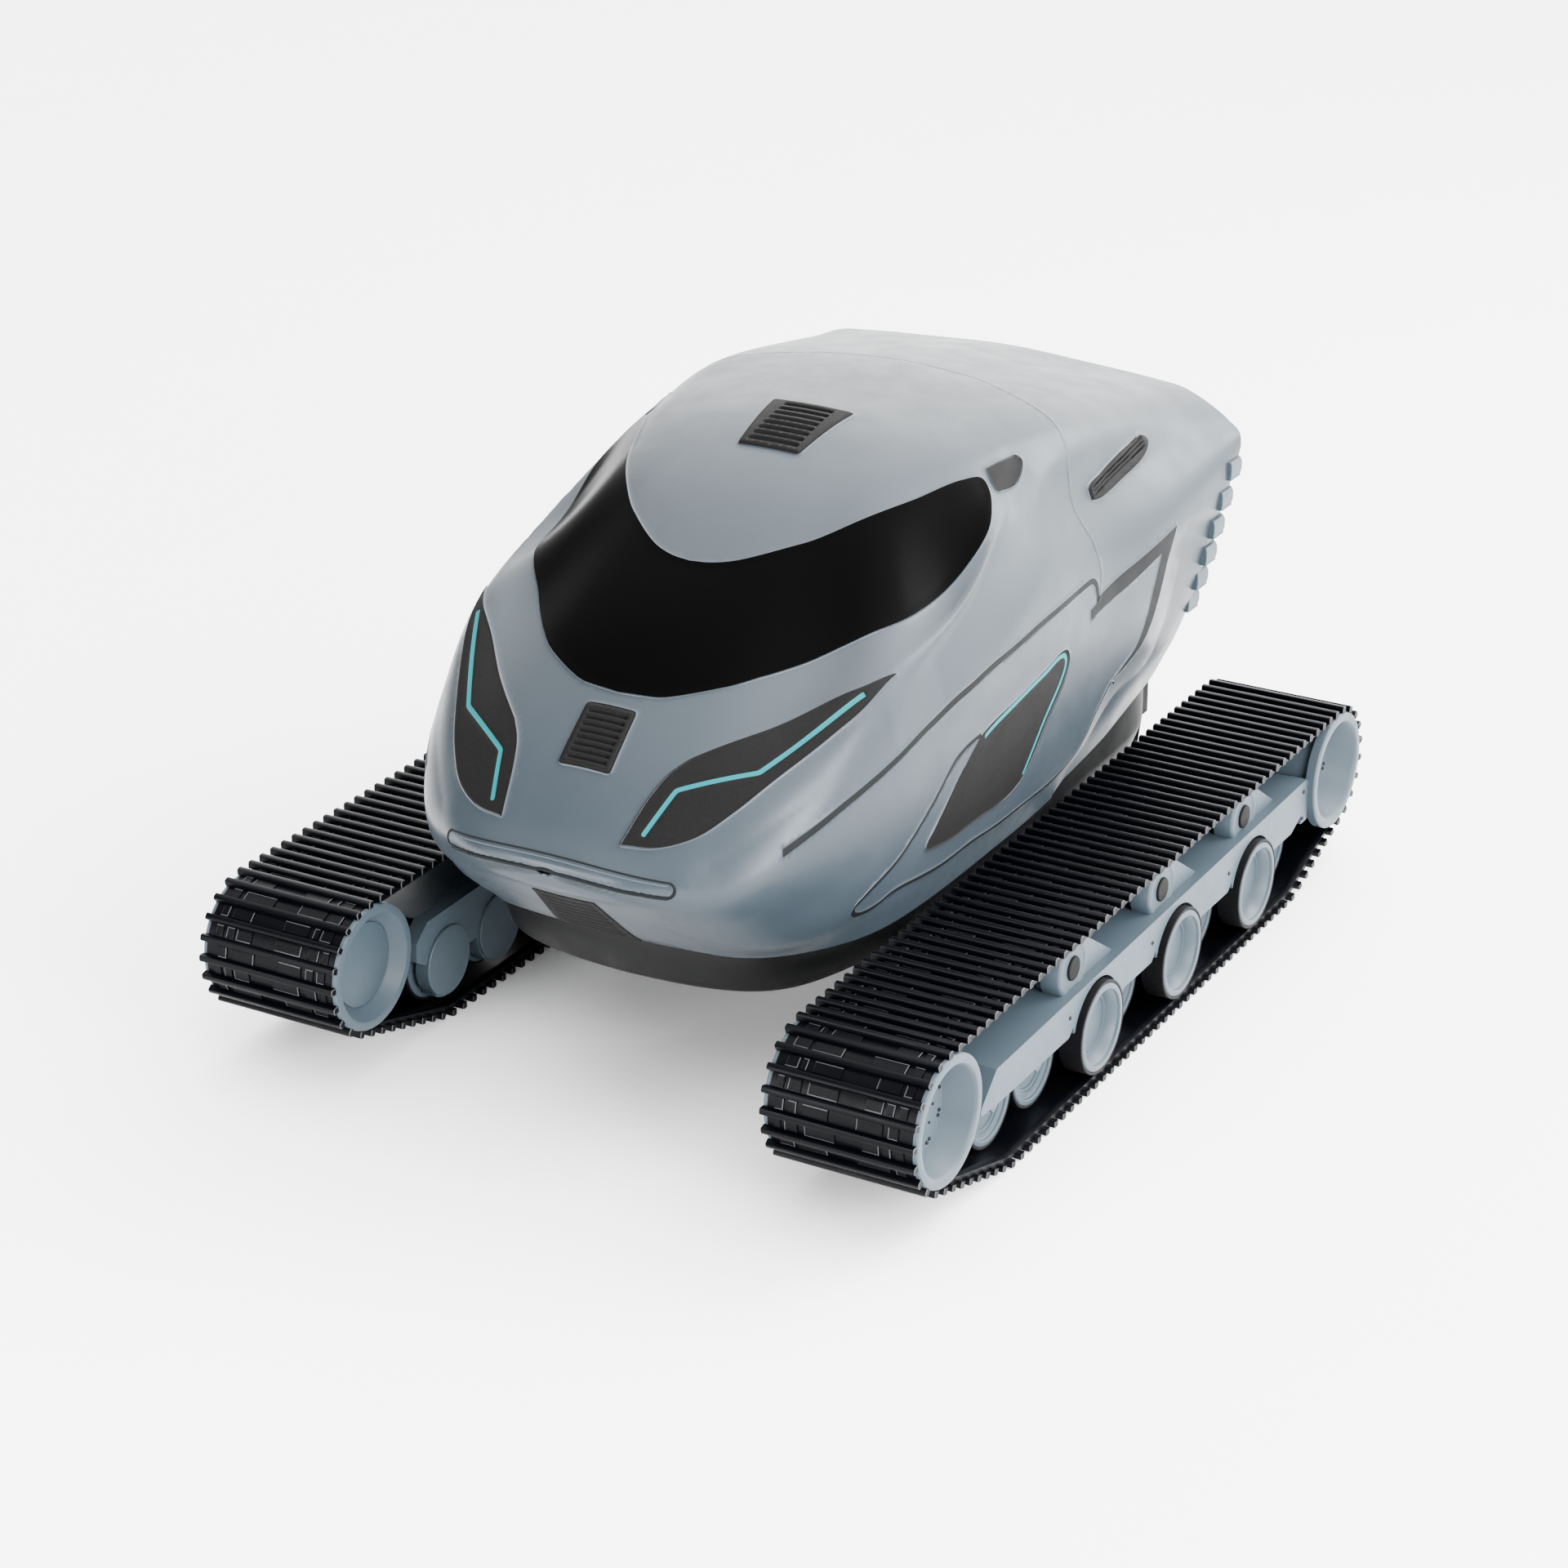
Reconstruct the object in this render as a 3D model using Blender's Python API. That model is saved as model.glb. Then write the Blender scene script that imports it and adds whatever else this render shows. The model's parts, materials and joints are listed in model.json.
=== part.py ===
"""Tracked tank chassis: a pod-shaped two-piece body on a pan, between two rubber-tracked running gears.

Units are metres, +Z is up, the nose points along -Y. The origin is on the ground under the centre of
the tracks. Outlines on the body are written in millimetres, as points that lie on its skin.
"""

import math

import bmesh
import bpy
import numpy as np
from mathutils import Vector

MM = 0.001
GAP = 0.3 * MM

# Running gear
WHEELBASE = 0.700
AXLE_Z = 0.087
END_RIM_R = 0.0495
END_DRUM_R = 0.0445
TRACK_OUTER_X = 0.3046
TRACK_WIDTH = 0.1225
BAND_INSET = 0.010
BAND_R = 0.045
BAND_THICK = 0.005
BAR_HEIGHT = 0.0052
BAR_COUNT = 122
OUTER_ROAD_R = 0.0375
INNER_ROAD_R = 0.0356
ROAD_BOTTOM_Z = 0.0105
ROAD_FIRST_Y = -0.244
ROAD_PITCH = 0.0722
OUTER_ROAD_WHEELS = (2, 4, 6)
INNER_ROAD_WHEELS = (0, 1, 3, 5, 7)
RETURN_R = 0.0212
RETURN_Z = 0.1105
RETURN_FIRST_Y = -0.127
RETURN_PITCH = 0.1565
PIN_R = 0.006
RUNNING_GAP = 0.0005

# Side frame, measured outwards from the centre plane
OUTER_PLATE_X = (0.2840, 0.2980)
INNER_PLATE_X = (0.1900, 0.2030)
BOSS_X = (0.2840, 0.2922)
WEB_Z = (0.0865, 0.0885)
PLATE_LOW_Z = 0.047

# Body
SHELL = 7.0
INLAY_DEPTH = 3.0
PAN_Z = (0.100, 0.1395)

# Half sections of the body skin: y, then (x, z) from the roof's centre line down to the sill.
STATIONS = {
    -388: [(0, 234), (20, 233.5), (36, 232), (48, 229), (55, 224.5), (56, 220), (50, 215.5),
        (36, 212.5), (15, 211)],
    -372: [(0, 250), (36, 248), (64, 243), (86, 236), (98, 226), (98, 216), (86, 207.5), (55, 203),
        (20, 202)],
    -345: [(0, 278.5), (48, 275), (86, 266.5), (112, 254), (129, 236), (134, 215), (123, 192),
        (85, 178), (30, 173)],
    -300: [(0, 316), (65, 310), (114, 298), (142, 285), (159, 263), (163, 235), (158, 200), (144, 162),
        (105, 140)],
    -250: [(0, 353.5), (65, 345), (116, 326), (152, 320), (173, 301), (179, 262), (176, 210),
        (168, 168), (149, 140)],
    -200: [(0, 385), (65, 377), (126, 348), (164, 349), (182, 331), (190, 285), (188, 230), (182, 180),
        (170, 140)],
    -100: [(0, 437), (60, 433), (110, 421), (165, 368), (186, 367), (199, 320), (197, 240), (189, 180),
        (176, 140)],
    0: [(0, 460.5), (70, 456), (125, 444), (158, 422), (180, 399), (200, 335), (199, 250), (189, 180),
        (176, 140)],
    100: [(0, 461), (75, 456), (140, 445), (168, 424), (178, 385), (198, 328), (197, 250), (187, 185),
        (174, 143)],
    200: [(0, 444.5), (75, 440), (138, 432), (166, 416), (182, 386), (209, 340), (204, 265), (190, 200),
        (172, 158)],
    330: [(0, 415.5), (80, 411.5), (135, 407.5), (165, 402.5), (200.5, 383), (214.5, 362), (208.5, 288),
        (190, 232), (166, 180)],
}
CHIN_END_Y = -300
RING_YS = (-388, -372, -345, -315, -285, -250, -215, -170, -110, -50, 20, 90, 160, 240, 330)

SATIN_GREY = ((0.36, 0.42, 0.46), 0.38, 0.0)
PALE_GREY = ((0.45, 0.55, 0.62), 0.45, 0.0)
DARK_GREY = ((0.045, 0.045, 0.045), 0.55, 0.0)
GLOSS_BLACK = ((0.004, 0.004, 0.005), 0.12, 0.0)
RUBBER = ((0.012, 0.012, 0.016), 0.6, 0.0)
CYAN = ((0.05, 0.60, 0.66), 0.35, 0.0)
PAN_BLACK = ((0.018, 0.018, 0.020), 0.6, 0.0)
METAL = ((0.42, 0.43, 0.45), 0.35, 1.0)
BOARD_GREEN = ((0.03, 0.14, 0.07), 0.5, 0.0)


# ---------------------------------------------------------------- helpers

def clear_scene():
    for obj in list(bpy.data.objects):
        bpy.data.objects.remove(obj, do_unlink=True)


def material(name, look):
    colour, roughness, metallic = look
    made = bpy.data.materials.new(name)
    made.use_nodes = True
    shader = made.node_tree.nodes["Principled BSDF"]
    shader.inputs["Base Color"].default_value = (*colour, 1.0)
    shader.inputs["Roughness"].default_value = roughness
    shader.inputs["Metallic"].default_value = metallic
    return made


def add_object(name, vertices, faces):
    mesh = bpy.data.meshes.new(name)
    mesh.from_pydata([tuple(v) for v in vertices], [], faces)
    obj = bpy.data.objects.new(name, mesh)
    bpy.context.scene.collection.objects.link(obj)
    work = bmesh.new()
    work.from_mesh(mesh)
    bmesh.ops.recalc_face_normals(work, faces=work.faces)
    bmesh.ops.triangulate(work, faces=[f for f in work.faces if len(f.verts) > 4])
    work.to_mesh(mesh)
    work.free()
    return obj


def helper(obj):
    obj.hide_render = True
    obj.display_type = "WIRE"
    return obj


def boolean(target, other, operation):
    """Apply one exact Boolean to target's mesh, and leave no modifier behind."""
    step = target.modifiers.new(operation.lower(), "BOOLEAN")
    step.operation = operation
    step.solver = "EXACT"
    step.object = other
    graph = bpy.context.evaluated_depsgraph_get()
    mesh = bpy.data.meshes.new_from_object(target.evaluated_get(graph))
    target.modifiers.clear()
    target.data = mesh
    return target


def discard(*objects):
    for obj in objects:
        bpy.data.objects.remove(obj, do_unlink=True)


def union(name, pieces):
    """Join overlapping solids into one body called name."""
    first = pieces[0]
    for piece in pieces[1:]:
        boolean(first, piece, "UNION")
        discard(piece)
    first.name = name
    return first


def cut(target, *cutters):
    for cutter in cutters:
        boolean(target, cutter, "DIFFERENCE")
        discard(cutter)
    return target


def finish(obj, look, smooth=False):
    obj.data.materials.clear()
    obj.data.materials.append(material(obj.name, look))
    if smooth:
        obj.data.shade_smooth()
        obj.data.set_sharp_from_angle(angle=math.radians(35))
    return obj


def set_origin(obj, point):
    """Move the object's origin onto its joint axis without moving its shape."""
    shift = Vector(point)
    for vertex in obj.data.vertices:
        vertex.co -= shift
    obj.location = shift


def box(name, low, high):
    xs, ys, zs = zip(low, high)
    corners = [(x, y, z) for x in xs for y in ys for z in zs]
    faces = [(0, 1, 3, 2), (4, 6, 7, 5), (0, 4, 5, 1), (2, 3, 7, 6), (0, 2, 6, 4), (1, 5, 7, 3)]
    return add_object(name, corners, faces)


def prism_x(name, outline, x_low, x_high):
    """Extrude a (y, z) outline along X."""
    count = len(outline)
    vertices = [(x, y, z) for x in (x_low, x_high) for y, z in outline]
    sides = [(i, (i + 1) % count, count + (i + 1) % count, count + i) for i in range(count)]
    return add_object(name, vertices, sides + [tuple(range(count)), tuple(range(count, 2 * count))])


def prism_z(name, outline, z_low, z_high):
    """Extrude an (x, y) outline along Z."""
    count = len(outline)
    vertices = [(x, y, z) for z in (z_low, z_high) for x, y in outline]
    sides = [(i, (i + 1) % count, count + (i + 1) % count, count + i) for i in range(count)]
    return add_object(name, vertices, sides + [tuple(range(count)), tuple(range(count, 2 * count))])


def turned(name, profile, centre, segments):
    """Turn a closed (x, radius) profile about the X axis through centre (y, z)."""
    vertices = []
    for step in range(segments):
        angle = 2 * math.pi * step / segments
        for x, radius in profile:
            vertices.append((x, centre[0] + radius * math.cos(angle),
                centre[1] + radius * math.sin(angle)))
    count = len(profile)
    faces = []
    for step in range(segments):
        here, there = step * count, (step + 1) % segments * count
        for i in range(count):
            after = (i + 1) % count
            faces.append((here + i, here + after, there + after, there + i))
    return add_object(name, vertices, faces)


def rod(name, x_low, x_high, centre, radius, segments=12):
    outline = []
    for step in range(segments):
        angle = 2 * math.pi * step / segments
        outline.append((centre[0] + radius * math.cos(angle), centre[1] + radius * math.sin(angle)))
    return prism_x(name, outline, x_low, x_high)


def sided(side, low, high):
    """An X range measured outwards from the centre plane, on the given side (+1 or -1)."""
    return (low, high) if side > 0 else (-high, -low)


# ---------------------------------------------------------------- body skin

def station_slopes(ys, table):
    """Slopes along Y of a monotone cubic through the stations."""
    steps = np.diff(ys)[:, None, None]
    rates = np.diff(table, axis=0) / steps
    slopes = np.zeros_like(table)
    before, after = 2 * steps[1:] + steps[:-1], steps[1:] + 2 * steps[:-1]
    same_way = rates[:-1] * rates[1:] > 0
    with np.errstate(divide="ignore", invalid="ignore"):
        mean = (before + after) / (before / rates[:-1] + after / rates[1:])
    slopes[1:-1] = np.where(same_way, mean, 0)
    slopes[0], slopes[-1] = rates[0], rates[-1]
    return slopes


STATION_YS = np.array(sorted(STATIONS), float)
STATION_TABLE = np.array([STATIONS[y] for y in sorted(STATIONS)], float)
STATION_SLOPES = station_slopes(STATION_YS, STATION_TABLE)


def half_section(y):
    i = int(np.clip(np.searchsorted(STATION_YS, y, side="right") - 1, 0, len(STATION_YS) - 2))
    width = STATION_YS[i + 1] - STATION_YS[i]
    t = (y - STATION_YS[i]) / width
    return (
        (1 + 2 * t) * (1 - t) ** 2 * STATION_TABLE[i]
        + t * (1 - t) ** 2 * width * STATION_SLOPES[i]
        + t * t * (3 - 2 * t) * STATION_TABLE[i + 1]
        + t * t * (t - 1) * width * STATION_SLOPES[i + 1]
    )


def rounded_section(y, steps):
    """The half section at y as a smooth curve, with this many steps between its points."""
    points = half_section(y)
    points = np.vstack([points[1] * (-1, 1), points, 2 * points[-1] - points[-2]])
    curve = []
    for i in range(1, len(points) - 2):
        a, b, c, d = points[i - 1 : i + 3]
        for k in range(steps):
            t = k / steps
            curve.append(0.5 * (2 * b + (c - a) * t + (2 * a - 5 * b + 4 * c - d) * t**2 + (3 * b - a - 3 * c + d) * t**3))
    return np.array(curve + [points[-2]])


def skin(name, offset, steps=2, open_below=False):
    """A closed solid bounded by the body skin moved outwards by offset millimetres."""
    rings = []
    for y in RING_YS:
        half = rounded_section(y, steps)
        ring = [(-x, y, z) for x, z in half[:0:-1]] + [(x, y, z) for x, z in half]
        rings.append(ring)
    count = len(rings[0])
    vertices = [Vector(point) * MM for ring in rings for point in ring]
    faces = [tuple(range(count)), tuple(range((len(rings) - 1) * count, len(rings) * count))]
    for r in range(len(rings) - 1):
        for i in range(count):
            after = (i + 1) % count
            a, b, c, d = r * count + i, r * count + after, (r + 1) * count + after, (r + 1) * count + i
            faces += [(a, b, c), (a, c, d)] if i < count // 2 else [(a, b, d), (b, c, d)]
    solid = add_object(name, vertices, faces)
    solid.data.update()
    normals = [v.normal.copy() for v in solid.data.vertices]
    for vertex, normal in zip(solid.data.vertices, normals):
        vertex.co += normal * offset * MM
    if open_below:
        for r, y in enumerate(RING_YS):
            if y > CHIN_END_Y:
                for i in (0, count - 1):
                    solid.data.vertices[r * count + i].co.z -= 3 * SHELL * MM
    return helper(solid)


def plane_axes(direction):
    across = direction.orthogonal().normalized()
    return across, direction.cross(across).normalized()


def grow(outline, amount):
    """Move each side of a closed 2D outline outwards."""
    area = sum(a[0] * b[1] - b[0] * a[1] for a, b in zip(outline, outline[1:] + outline[:1]))
    turn = 1 if area > 0 else -1
    grown = []
    for before, here, after in zip(outline[-1:] + outline[:-1], outline, outline[1:] + outline[:1]):
        first = Vector((here[1] - before[1], before[0] - here[0])).normalized() * turn
        second = Vector((after[1] - here[1], here[0] - after[0])).normalized() * turn
        middle = (first + second).normalized()
        reach = amount / max(0.45, middle.dot(first))
        grown.append((here[0] + middle.x * reach, here[1] + middle.y * reach))
    return grown


def skin_prism(name, outline, direction, reach, growth=0.0):
    """A prism through the skin along direction, over an outline of points on the skin."""
    direction = Vector(direction).normalized()
    across, along = plane_axes(direction)
    points = [Vector(p) * MM for p in outline]
    middle = sum(points, Vector()) / len(points)
    flat = [((p - middle).dot(across), (p - middle).dot(along)) for p in points]
    if growth:
        flat = grow(flat, growth)
    vertices = [middle + across * a + along * b + direction * h for h in (-reach, reach) for a, b in flat]
    count = len(flat)
    sides = [(i, (i + 1) % count, count + (i + 1) % count, count + i) for i in range(count)]
    return helper(add_object(name, vertices, sides + [tuple(range(count)), tuple(range(count,
        2 * count))]))


def inlay(name, outline, direction, hosts, look, top=0.0, depth=INLAY_DEPTH, reach=0.06, smooth=True):
    """A panel let into the skin: it fills a pocket cut with a small gap into each host."""
    piece = skin_prism(name, outline, direction, reach)
    boolean(piece, SKINS[top], "INTERSECT")
    boolean(piece, SKINS[-depth], "DIFFERENCE")
    piece.hide_render = False
    piece.display_type = "TEXTURED"
    pocket = skin_prism(name + "_pocket", outline, direction, reach, GAP)
    boolean(pocket, SKINS[-depth - 0.3], "DIFFERENCE")
    for host in hosts:
        boolean(host, pocket, "DIFFERENCE")
    discard(pocket)
    return finish(piece, look, smooth)


def mirrored(outline):
    return [(-x, y, z) for x, y, z in reversed(outline)]


def both_sides(half):
    """A closed outline from its +X half, given from one centre-line point to the other."""
    return half + [(-x, y, z) for x, y, z in half[-2:0:-1]]


def ribbon(points, width, closed=False):
    """A band of the given width in millimetres along 3D points, flat in the side view (y, z)."""
    left, right = [], []
    last = len(points) - 1
    for i, here in enumerate(points):
        before = points[i - 1] if i or closed else here
        after = points[(i + 1) % len(points)] if i < last or closed else here
        first = Vector((here[1] - before[1], here[2] - before[2]))
        second = Vector((after[1] - here[1], after[2] - here[2]))
        first = first.normalized() if first.length else second.normalized()
        second = second.normalized() if second.length else first
        middle = (first + second).normalized()
        reach = width / 2 / max(0.5, middle.dot(first))
        left.append((here[0], here[1] - middle.y * reach, here[2] + middle.x * reach))
        right.append((here[0], here[1] + middle.y * reach, here[2] - middle.x * reach))
    return left + right[::-1]


# ---------------------------------------------------------------- body outlines, in millimetres

VISOR = both_sides([
    (0, -288, 330), (36, -283, 331), (73, -262, 334), (105, -233, 342), (132, -197, 349),
    (155, -152, 354),
    (164, -116, 360), (168, -78, 370), (167, -43, 386), (163, -20, 405), (149, -4, 432), (136, -38, 430),
    (123, -70, 427), (104, -109, 423), (82, -140, 417), (56, -164, 409), (33, -179, 402), (0, -187, 393),
])
HEADLIGHT = [
    (176, -194, 342), (158, -222, 339), (127, -250, 325), (97, -289, 310), (76, -311, 299),
    (64, -325, 290),
    (57, -341, 277), (49, -369, 249), (74, -364, 249), (99, -350, 255), (120, -329, 268),
    (138, -304, 284),
    (154, -274, 301), (169, -240, 320),
]
HEADLIGHT_LINE = [(166, -223, 335), (123, -300, 294), (74, -332, 282), (63, -360, 256)]
NOSE_GRILLE = [(-21, -297, 318), (21, -297, 318), (22, -337, 285), (-22, -337, 285)]
ROOF_GRILLE = [(-35, -2, 460), (35, -2, 460), (26, -72, 445), (-26, -72, 445)]
CHIN_GRILLE = [(-26, -368, 200), (26, -368, 200), (34, -322, 157), (-34, -322, 157)]
LIGHT_BAR = both_sides([(0, -384, 237), (70, -377, 234), (90, -374, 230), (97, -372, 224),
    (90, -375, 219), (70, -378, 223), (0, -386, 226)])
SIDE_PANEL = [
    (188, -169, 195), (192, -156, 219), (196, -133, 250), (198, -105, 264), (200, -42, 275),
    (200, 27, 283),
    (200, 40, 274), (199, 32, 256), (197, 9, 230), (191, -13, 189), (189, -42, 180), (189, -124, 186),
]
SIDE_STRIP = [(198, -99, 268), (200, -40, 279), (200, 25, 287), (200, 38, 285), (200, 44, 275),
    (199, 35, 255), (191, -9, 190)]
SIDE_STRIPE = [(152, -317, 245), (177, -255, 274), (194, -164, 299), (201, -45, 315), (199, 74, 324),
    (199, 87, 320), (199, 93, 301)]
SIDE_WEDGE = [(200, 83, 295), (200, 95, 300), (210, 209, 331), (205, 198, 275), (202, 188, 257),
    (197, 162, 234), (194, 123, 226), (192, 92, 212), (187, 75, 183), (184, 84, 183), (190, 101, 209),
    (193, 129, 221), (196, 168, 228), (201, 186, 248), (204, 176, 272), (209, 189, 318), (204, 155, 309)]
SHOULDER_GRILLE = [(178, 117, 387), (176, 217, 400), (179, 215, 392), (182, 117, 376)]
SENSOR_POD = [(149, 8, 432), (156, 40, 430), (165, 25, 418), (160, 1, 417)]


# ---------------------------------------------------------------- body

def seam_side(name, front):
    """Everything ahead of (or behind) the joint line between the two shells."""
    line = [(0, 141), (70, 137), (129, 113), (150, 105), (170, 91), (176, 86), (260, 86)]
    whole = [(-x, y) for x, y in line[:0:-1]] + line
    shift = -GAP / 2 if front else GAP / 2
    edge = [(x * MM, y * MM + shift) for x, y in whole]
    far = -0.5 if front else 0.5
    return helper(prism_z(name, edge + [(0.26, far), (-0.26, far)], 0.05, 0.55))


def make_shells():
    hollow = skin("hollow", -SHELL, steps=1, open_below=True)
    shells = []
    for name, front in (("front_shell", True), ("rear_shell", False)):
        shell = skin(name, 0.0)
        shell.hide_render = False
        shell.display_type = "TEXTURED"
        part = seam_side(name + "_side", front)
        boolean(shell, part, "INTERSECT")
        boolean(shell, hollow, "DIFFERENCE")
        discard(part)
        shells.append(shell)
    discard(hollow)
    return shells


def make_inlays(front, rear):
    inlay("visor", VISOR, (0, -0.45, 0.89), [front], GLOSS_BLACK, reach=0.09)
    inlay("nose_grille", NOSE_GRILLE, (0, -0.65, 0.76), [front], DARK_GREY, top=-1.0)
    inlay("roof_grille", ROOF_GRILLE, (0, -0.2, 0.98), [front], DARK_GREY, top=-1.0)
    inlay("chin_grille", CHIN_GRILLE, (0, -0.7, -0.7), [front], DARK_GREY, top=-1.0, reach=0.03)
    inlay("light_bar", LIGHT_BAR, (0, -0.95, 0.2), [front], DARK_GREY, top=0.0, reach=0.04)
    for side, out in (("right", 1), ("left", -1)):
        turn = (lambda outline: outline) if out > 0 else mirrored
        lamp = inlay("headlight_" + side, turn(HEADLIGHT), (out * 0.35, -0.62, 0.7), [front], DARK_GREY)
        line = ribbon([(y, x, z) for x, y, z in HEADLIGHT_LINE], 3.0)
        line = [(x, y, z) for y, x, z in line]
        inlay("headlight_strip_" + side, turn(line), (out * 0.35, -0.62, 0.7), [lamp], CYAN, 0.3, 1.2)
        inlay("side_panel_" + side, turn(SIDE_PANEL), (out, 0, 0), [front], DARK_GREY, reach=0.04)
        inlay("side_strip_" + side, turn(ribbon(SIDE_STRIP, 3.0)),
            (out, 0, 0), [front], CYAN, 0.3, 1.2, 0.04)
        stripe = inlay("side_stripe_" + side, turn(ribbon(SIDE_STRIPE, 3.5)),
            (out, 0, 0), [front, rear], DARK_GREY, 0.3, 1.2)
        wedge = inlay("side_wedge_" + side, turn(SIDE_WEDGE),
            (out, 0, 0), [front, rear], DARK_GREY, 0.3, 1.2, 0.04)
        finish(union("side_stripe_" + side, [stripe, wedge]), DARK_GREY)
        inlay("shoulder_grille_" + side, turn(SHOULDER_GRILLE),
            (out * 0.8, 0, 0.6), [rear], DARK_GREY, -1.0, reach=0.03)
        inlay("sensor_pod_" + side, turn(SENSOR_POD),
            (out * 0.7, -0.3, 0.65), [front], DARK_GREY, reach=0.03)


def pan_outline(inset):
    half = [(0, -300), (43, -297), (80, -290), (108, -278), (130, -258), (148, -215), (156, -150),
        (158, 0), (157, 150), (148, 297), (0, 297)]
    points = [(x, y) for x, y in half] + [(-x, y) for x, y in half[-2:0:-1]]
    return [(x * MM, y * MM) for x, y in grow(points, -inset)]


def make_pan():
    pan = union("chassis_pan", [
        prism_z("pan_low", pan_outline(0), *PAN_Z),
        prism_z("pan_high", pan_outline(12), PAN_Z[0] + 0.01, 0.176),
    ])
    cut(pan, prism_z("pan_hollow", pan_outline(18), PAN_Z[0] + 0.008, 0.2))
    finish(pan, PAN_BLACK)


def make_insides():
    finish(box("battery_pack", (-0.10, -0.200, 0.1083), (0.10, 0.080, 0.165)), DARK_GREY)
    board = [box("control_board", (-0.085, 0.110, 0.1180), (0.085, 0.260, 0.1200))]
    for x in (-0.078, 0.078):
        for y in (0.117, 0.253):
            board.append(box("standoff", (x - 0.004, y - 0.004, 0.1083), (x + 0.004, y + 0.004, 0.1190)))
    board.append(box("heat_sink", (-0.03, 0.150, 0.1190), (0.03, 0.210, 0.1320)))
    finish(union("control_board", board), BOARD_GREEN)
    for name, y in (("cross_member_front", -0.100), ("cross_member_rear", 0.189)):
        outline = [(-0.1897, 0.054), (0.1897, 0.054), (0.1897, 0.074), (0.12, 0.074), (0.11, 0.0997),
            (0.07, 0.0997), (0.06, 0.074)]
        outline += [(-x, z) for x, z in reversed(outline[3:])]
        outline += [(-0.1897, 0.074)]
        count = len(outline)
        vertices = [(x, y + d, z) for d in (-0.012, 0.012) for x, z in outline]
        sides = [(i, (i + 1) % count, count + (i + 1) % count, count + i) for i in range(count)]
        member = add_object(name, vertices, sides + [tuple(range(count)), tuple(range(count, 2 * count))])
        finish(member, PAN_BLACK)


def make_rear_details():
    plate = [box("rear_grille", (-0.185, 0.3303, 0.235), (0.185, 0.3333, 0.385))]
    for i in range(7):
        z = 0.247 + 0.021 * i
        half_width = 0.190 + 0.003 * i
        plate.append(box("fin", (-half_width, 0.3303, z - 0.004), (half_width, 0.3400, z + 0.004)))
    finish(union("rear_grille", plate), PALE_GREY)
    socket = box("rear_connector_box", (-0.135, 0.2973, 0.110), (0.135, 0.3380, 0.166))
    slots = [box("slot", (x, 0.3340, 0.122),
        (x + 0.006, 0.3400, 0.152)) for x in np.arange(-0.1, 0.11, 0.04)]
    cut(socket, *slots)
    finish(socket, DARK_GREY)


# ---------------------------------------------------------------- running gear

def road_wheel(place):
    """Centre (y, z) and radius of the road wheel at the given place, counted from the nose."""
    radius = OUTER_ROAD_R if place in OUTER_ROAD_WHEELS else INNER_ROAD_R
    return (ROAD_FIRST_Y + place * ROAD_PITCH, ROAD_BOTTOM_Z + radius), radius


def belt_circles():
    """Centre (y, z) and radius of the four corners that the band's inner face wraps round."""
    corners = [(-WHEELBASE / 2, AXLE_Z, BAND_R)]
    for place in (INNER_ROAD_WHEELS[0], INNER_ROAD_WHEELS[-1]):
        centre, radius = road_wheel(place)
        corners.append((*centre, radius + GAP))
    return corners + [(WHEELBASE / 2, AXLE_Z, BAND_R)]


def belt_path():
    """Pieces of the band's inner line, in order: ('arc', centre, radius, from angle,
        to angle) or ('line', a, b)."""
    circles = belt_circles()
    joins = []
    for (y1, z1, r1), (y2, z2, r2) in zip(circles, circles[1:] + circles[:1]):
        run, rise = y2 - y1, z2 - z1
        heading = math.atan2(rise, run)
        normal = heading - math.pi / 2 + math.asin((r1 - r2) / math.hypot(run, rise))
        joins.append(normal)
    pieces = []
    for i, (y, z, radius) in enumerate(circles):
        start, end = joins[i - 1], joins[i]
        while end < start - 1e-9:
            end += 2 * math.pi
        pieces.append(("arc", (y, z), radius, start, end))
        other = circles[(i + 1) % 4]
        normal = joins[i]
        a = (y + radius * math.cos(normal), z + radius * math.sin(normal))
        b = (other[0] + other[2] * math.cos(normal), other[1] + other[2] * math.sin(normal))
        pieces.append(("line", a, b, normal))
    return pieces


BELT_PATH = belt_path()


def piece_length(piece):
    if piece[0] == "arc":
        return piece[2] * (piece[4] - piece[3])
    return math.dist(piece[1], piece[2])


BELT_LENGTH = sum(piece_length(piece) for piece in BELT_PATH)


def belt_point(s, height):
    """The (y, z) point at arc length s along the belt, this far outside the band's inner face."""
    s %= BELT_LENGTH
    for piece in BELT_PATH:
        length = piece_length(piece)
        if s <= length:
            break
        s -= length
    t = s / length
    if piece[0] == "arc":
        angle = piece[3] + t * (piece[4] - piece[3])
        reach = piece[2] + height
        return piece[1][0] + reach * math.cos(angle), piece[1][1] + reach * math.sin(angle)
    y = piece[1][0] + t * (piece[2][0] - piece[1][0])
    z = piece[1][1] + t * (piece[2][1] - piece[1][1])
    return y + height * math.cos(piece[3]), z + height * math.sin(piece[3])


def belt_stops(arc_steps):
    """Arc lengths at the ends of each straight, and at even steps round each arc."""
    stops, start = [], 0.0
    for piece in BELT_PATH:
        length = piece_length(piece)
        steps = max(2, round(arc_steps * length / (math.pi * BAND_R))) if piece[0] == "arc" else 1
        stops += [start + length * k / steps for k in range(steps)]
        start += length
    return stops


def loop(name, outer, inner, x_low, x_high):
    """A closed belt layer between two (y, z) loops, extruded along X."""
    solid = prism_x(name, outer, x_low, x_high)
    hole = prism_x(name + "_hole", inner, x_low - 0.01, x_high + 0.01)
    return cut(solid, hole)


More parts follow.
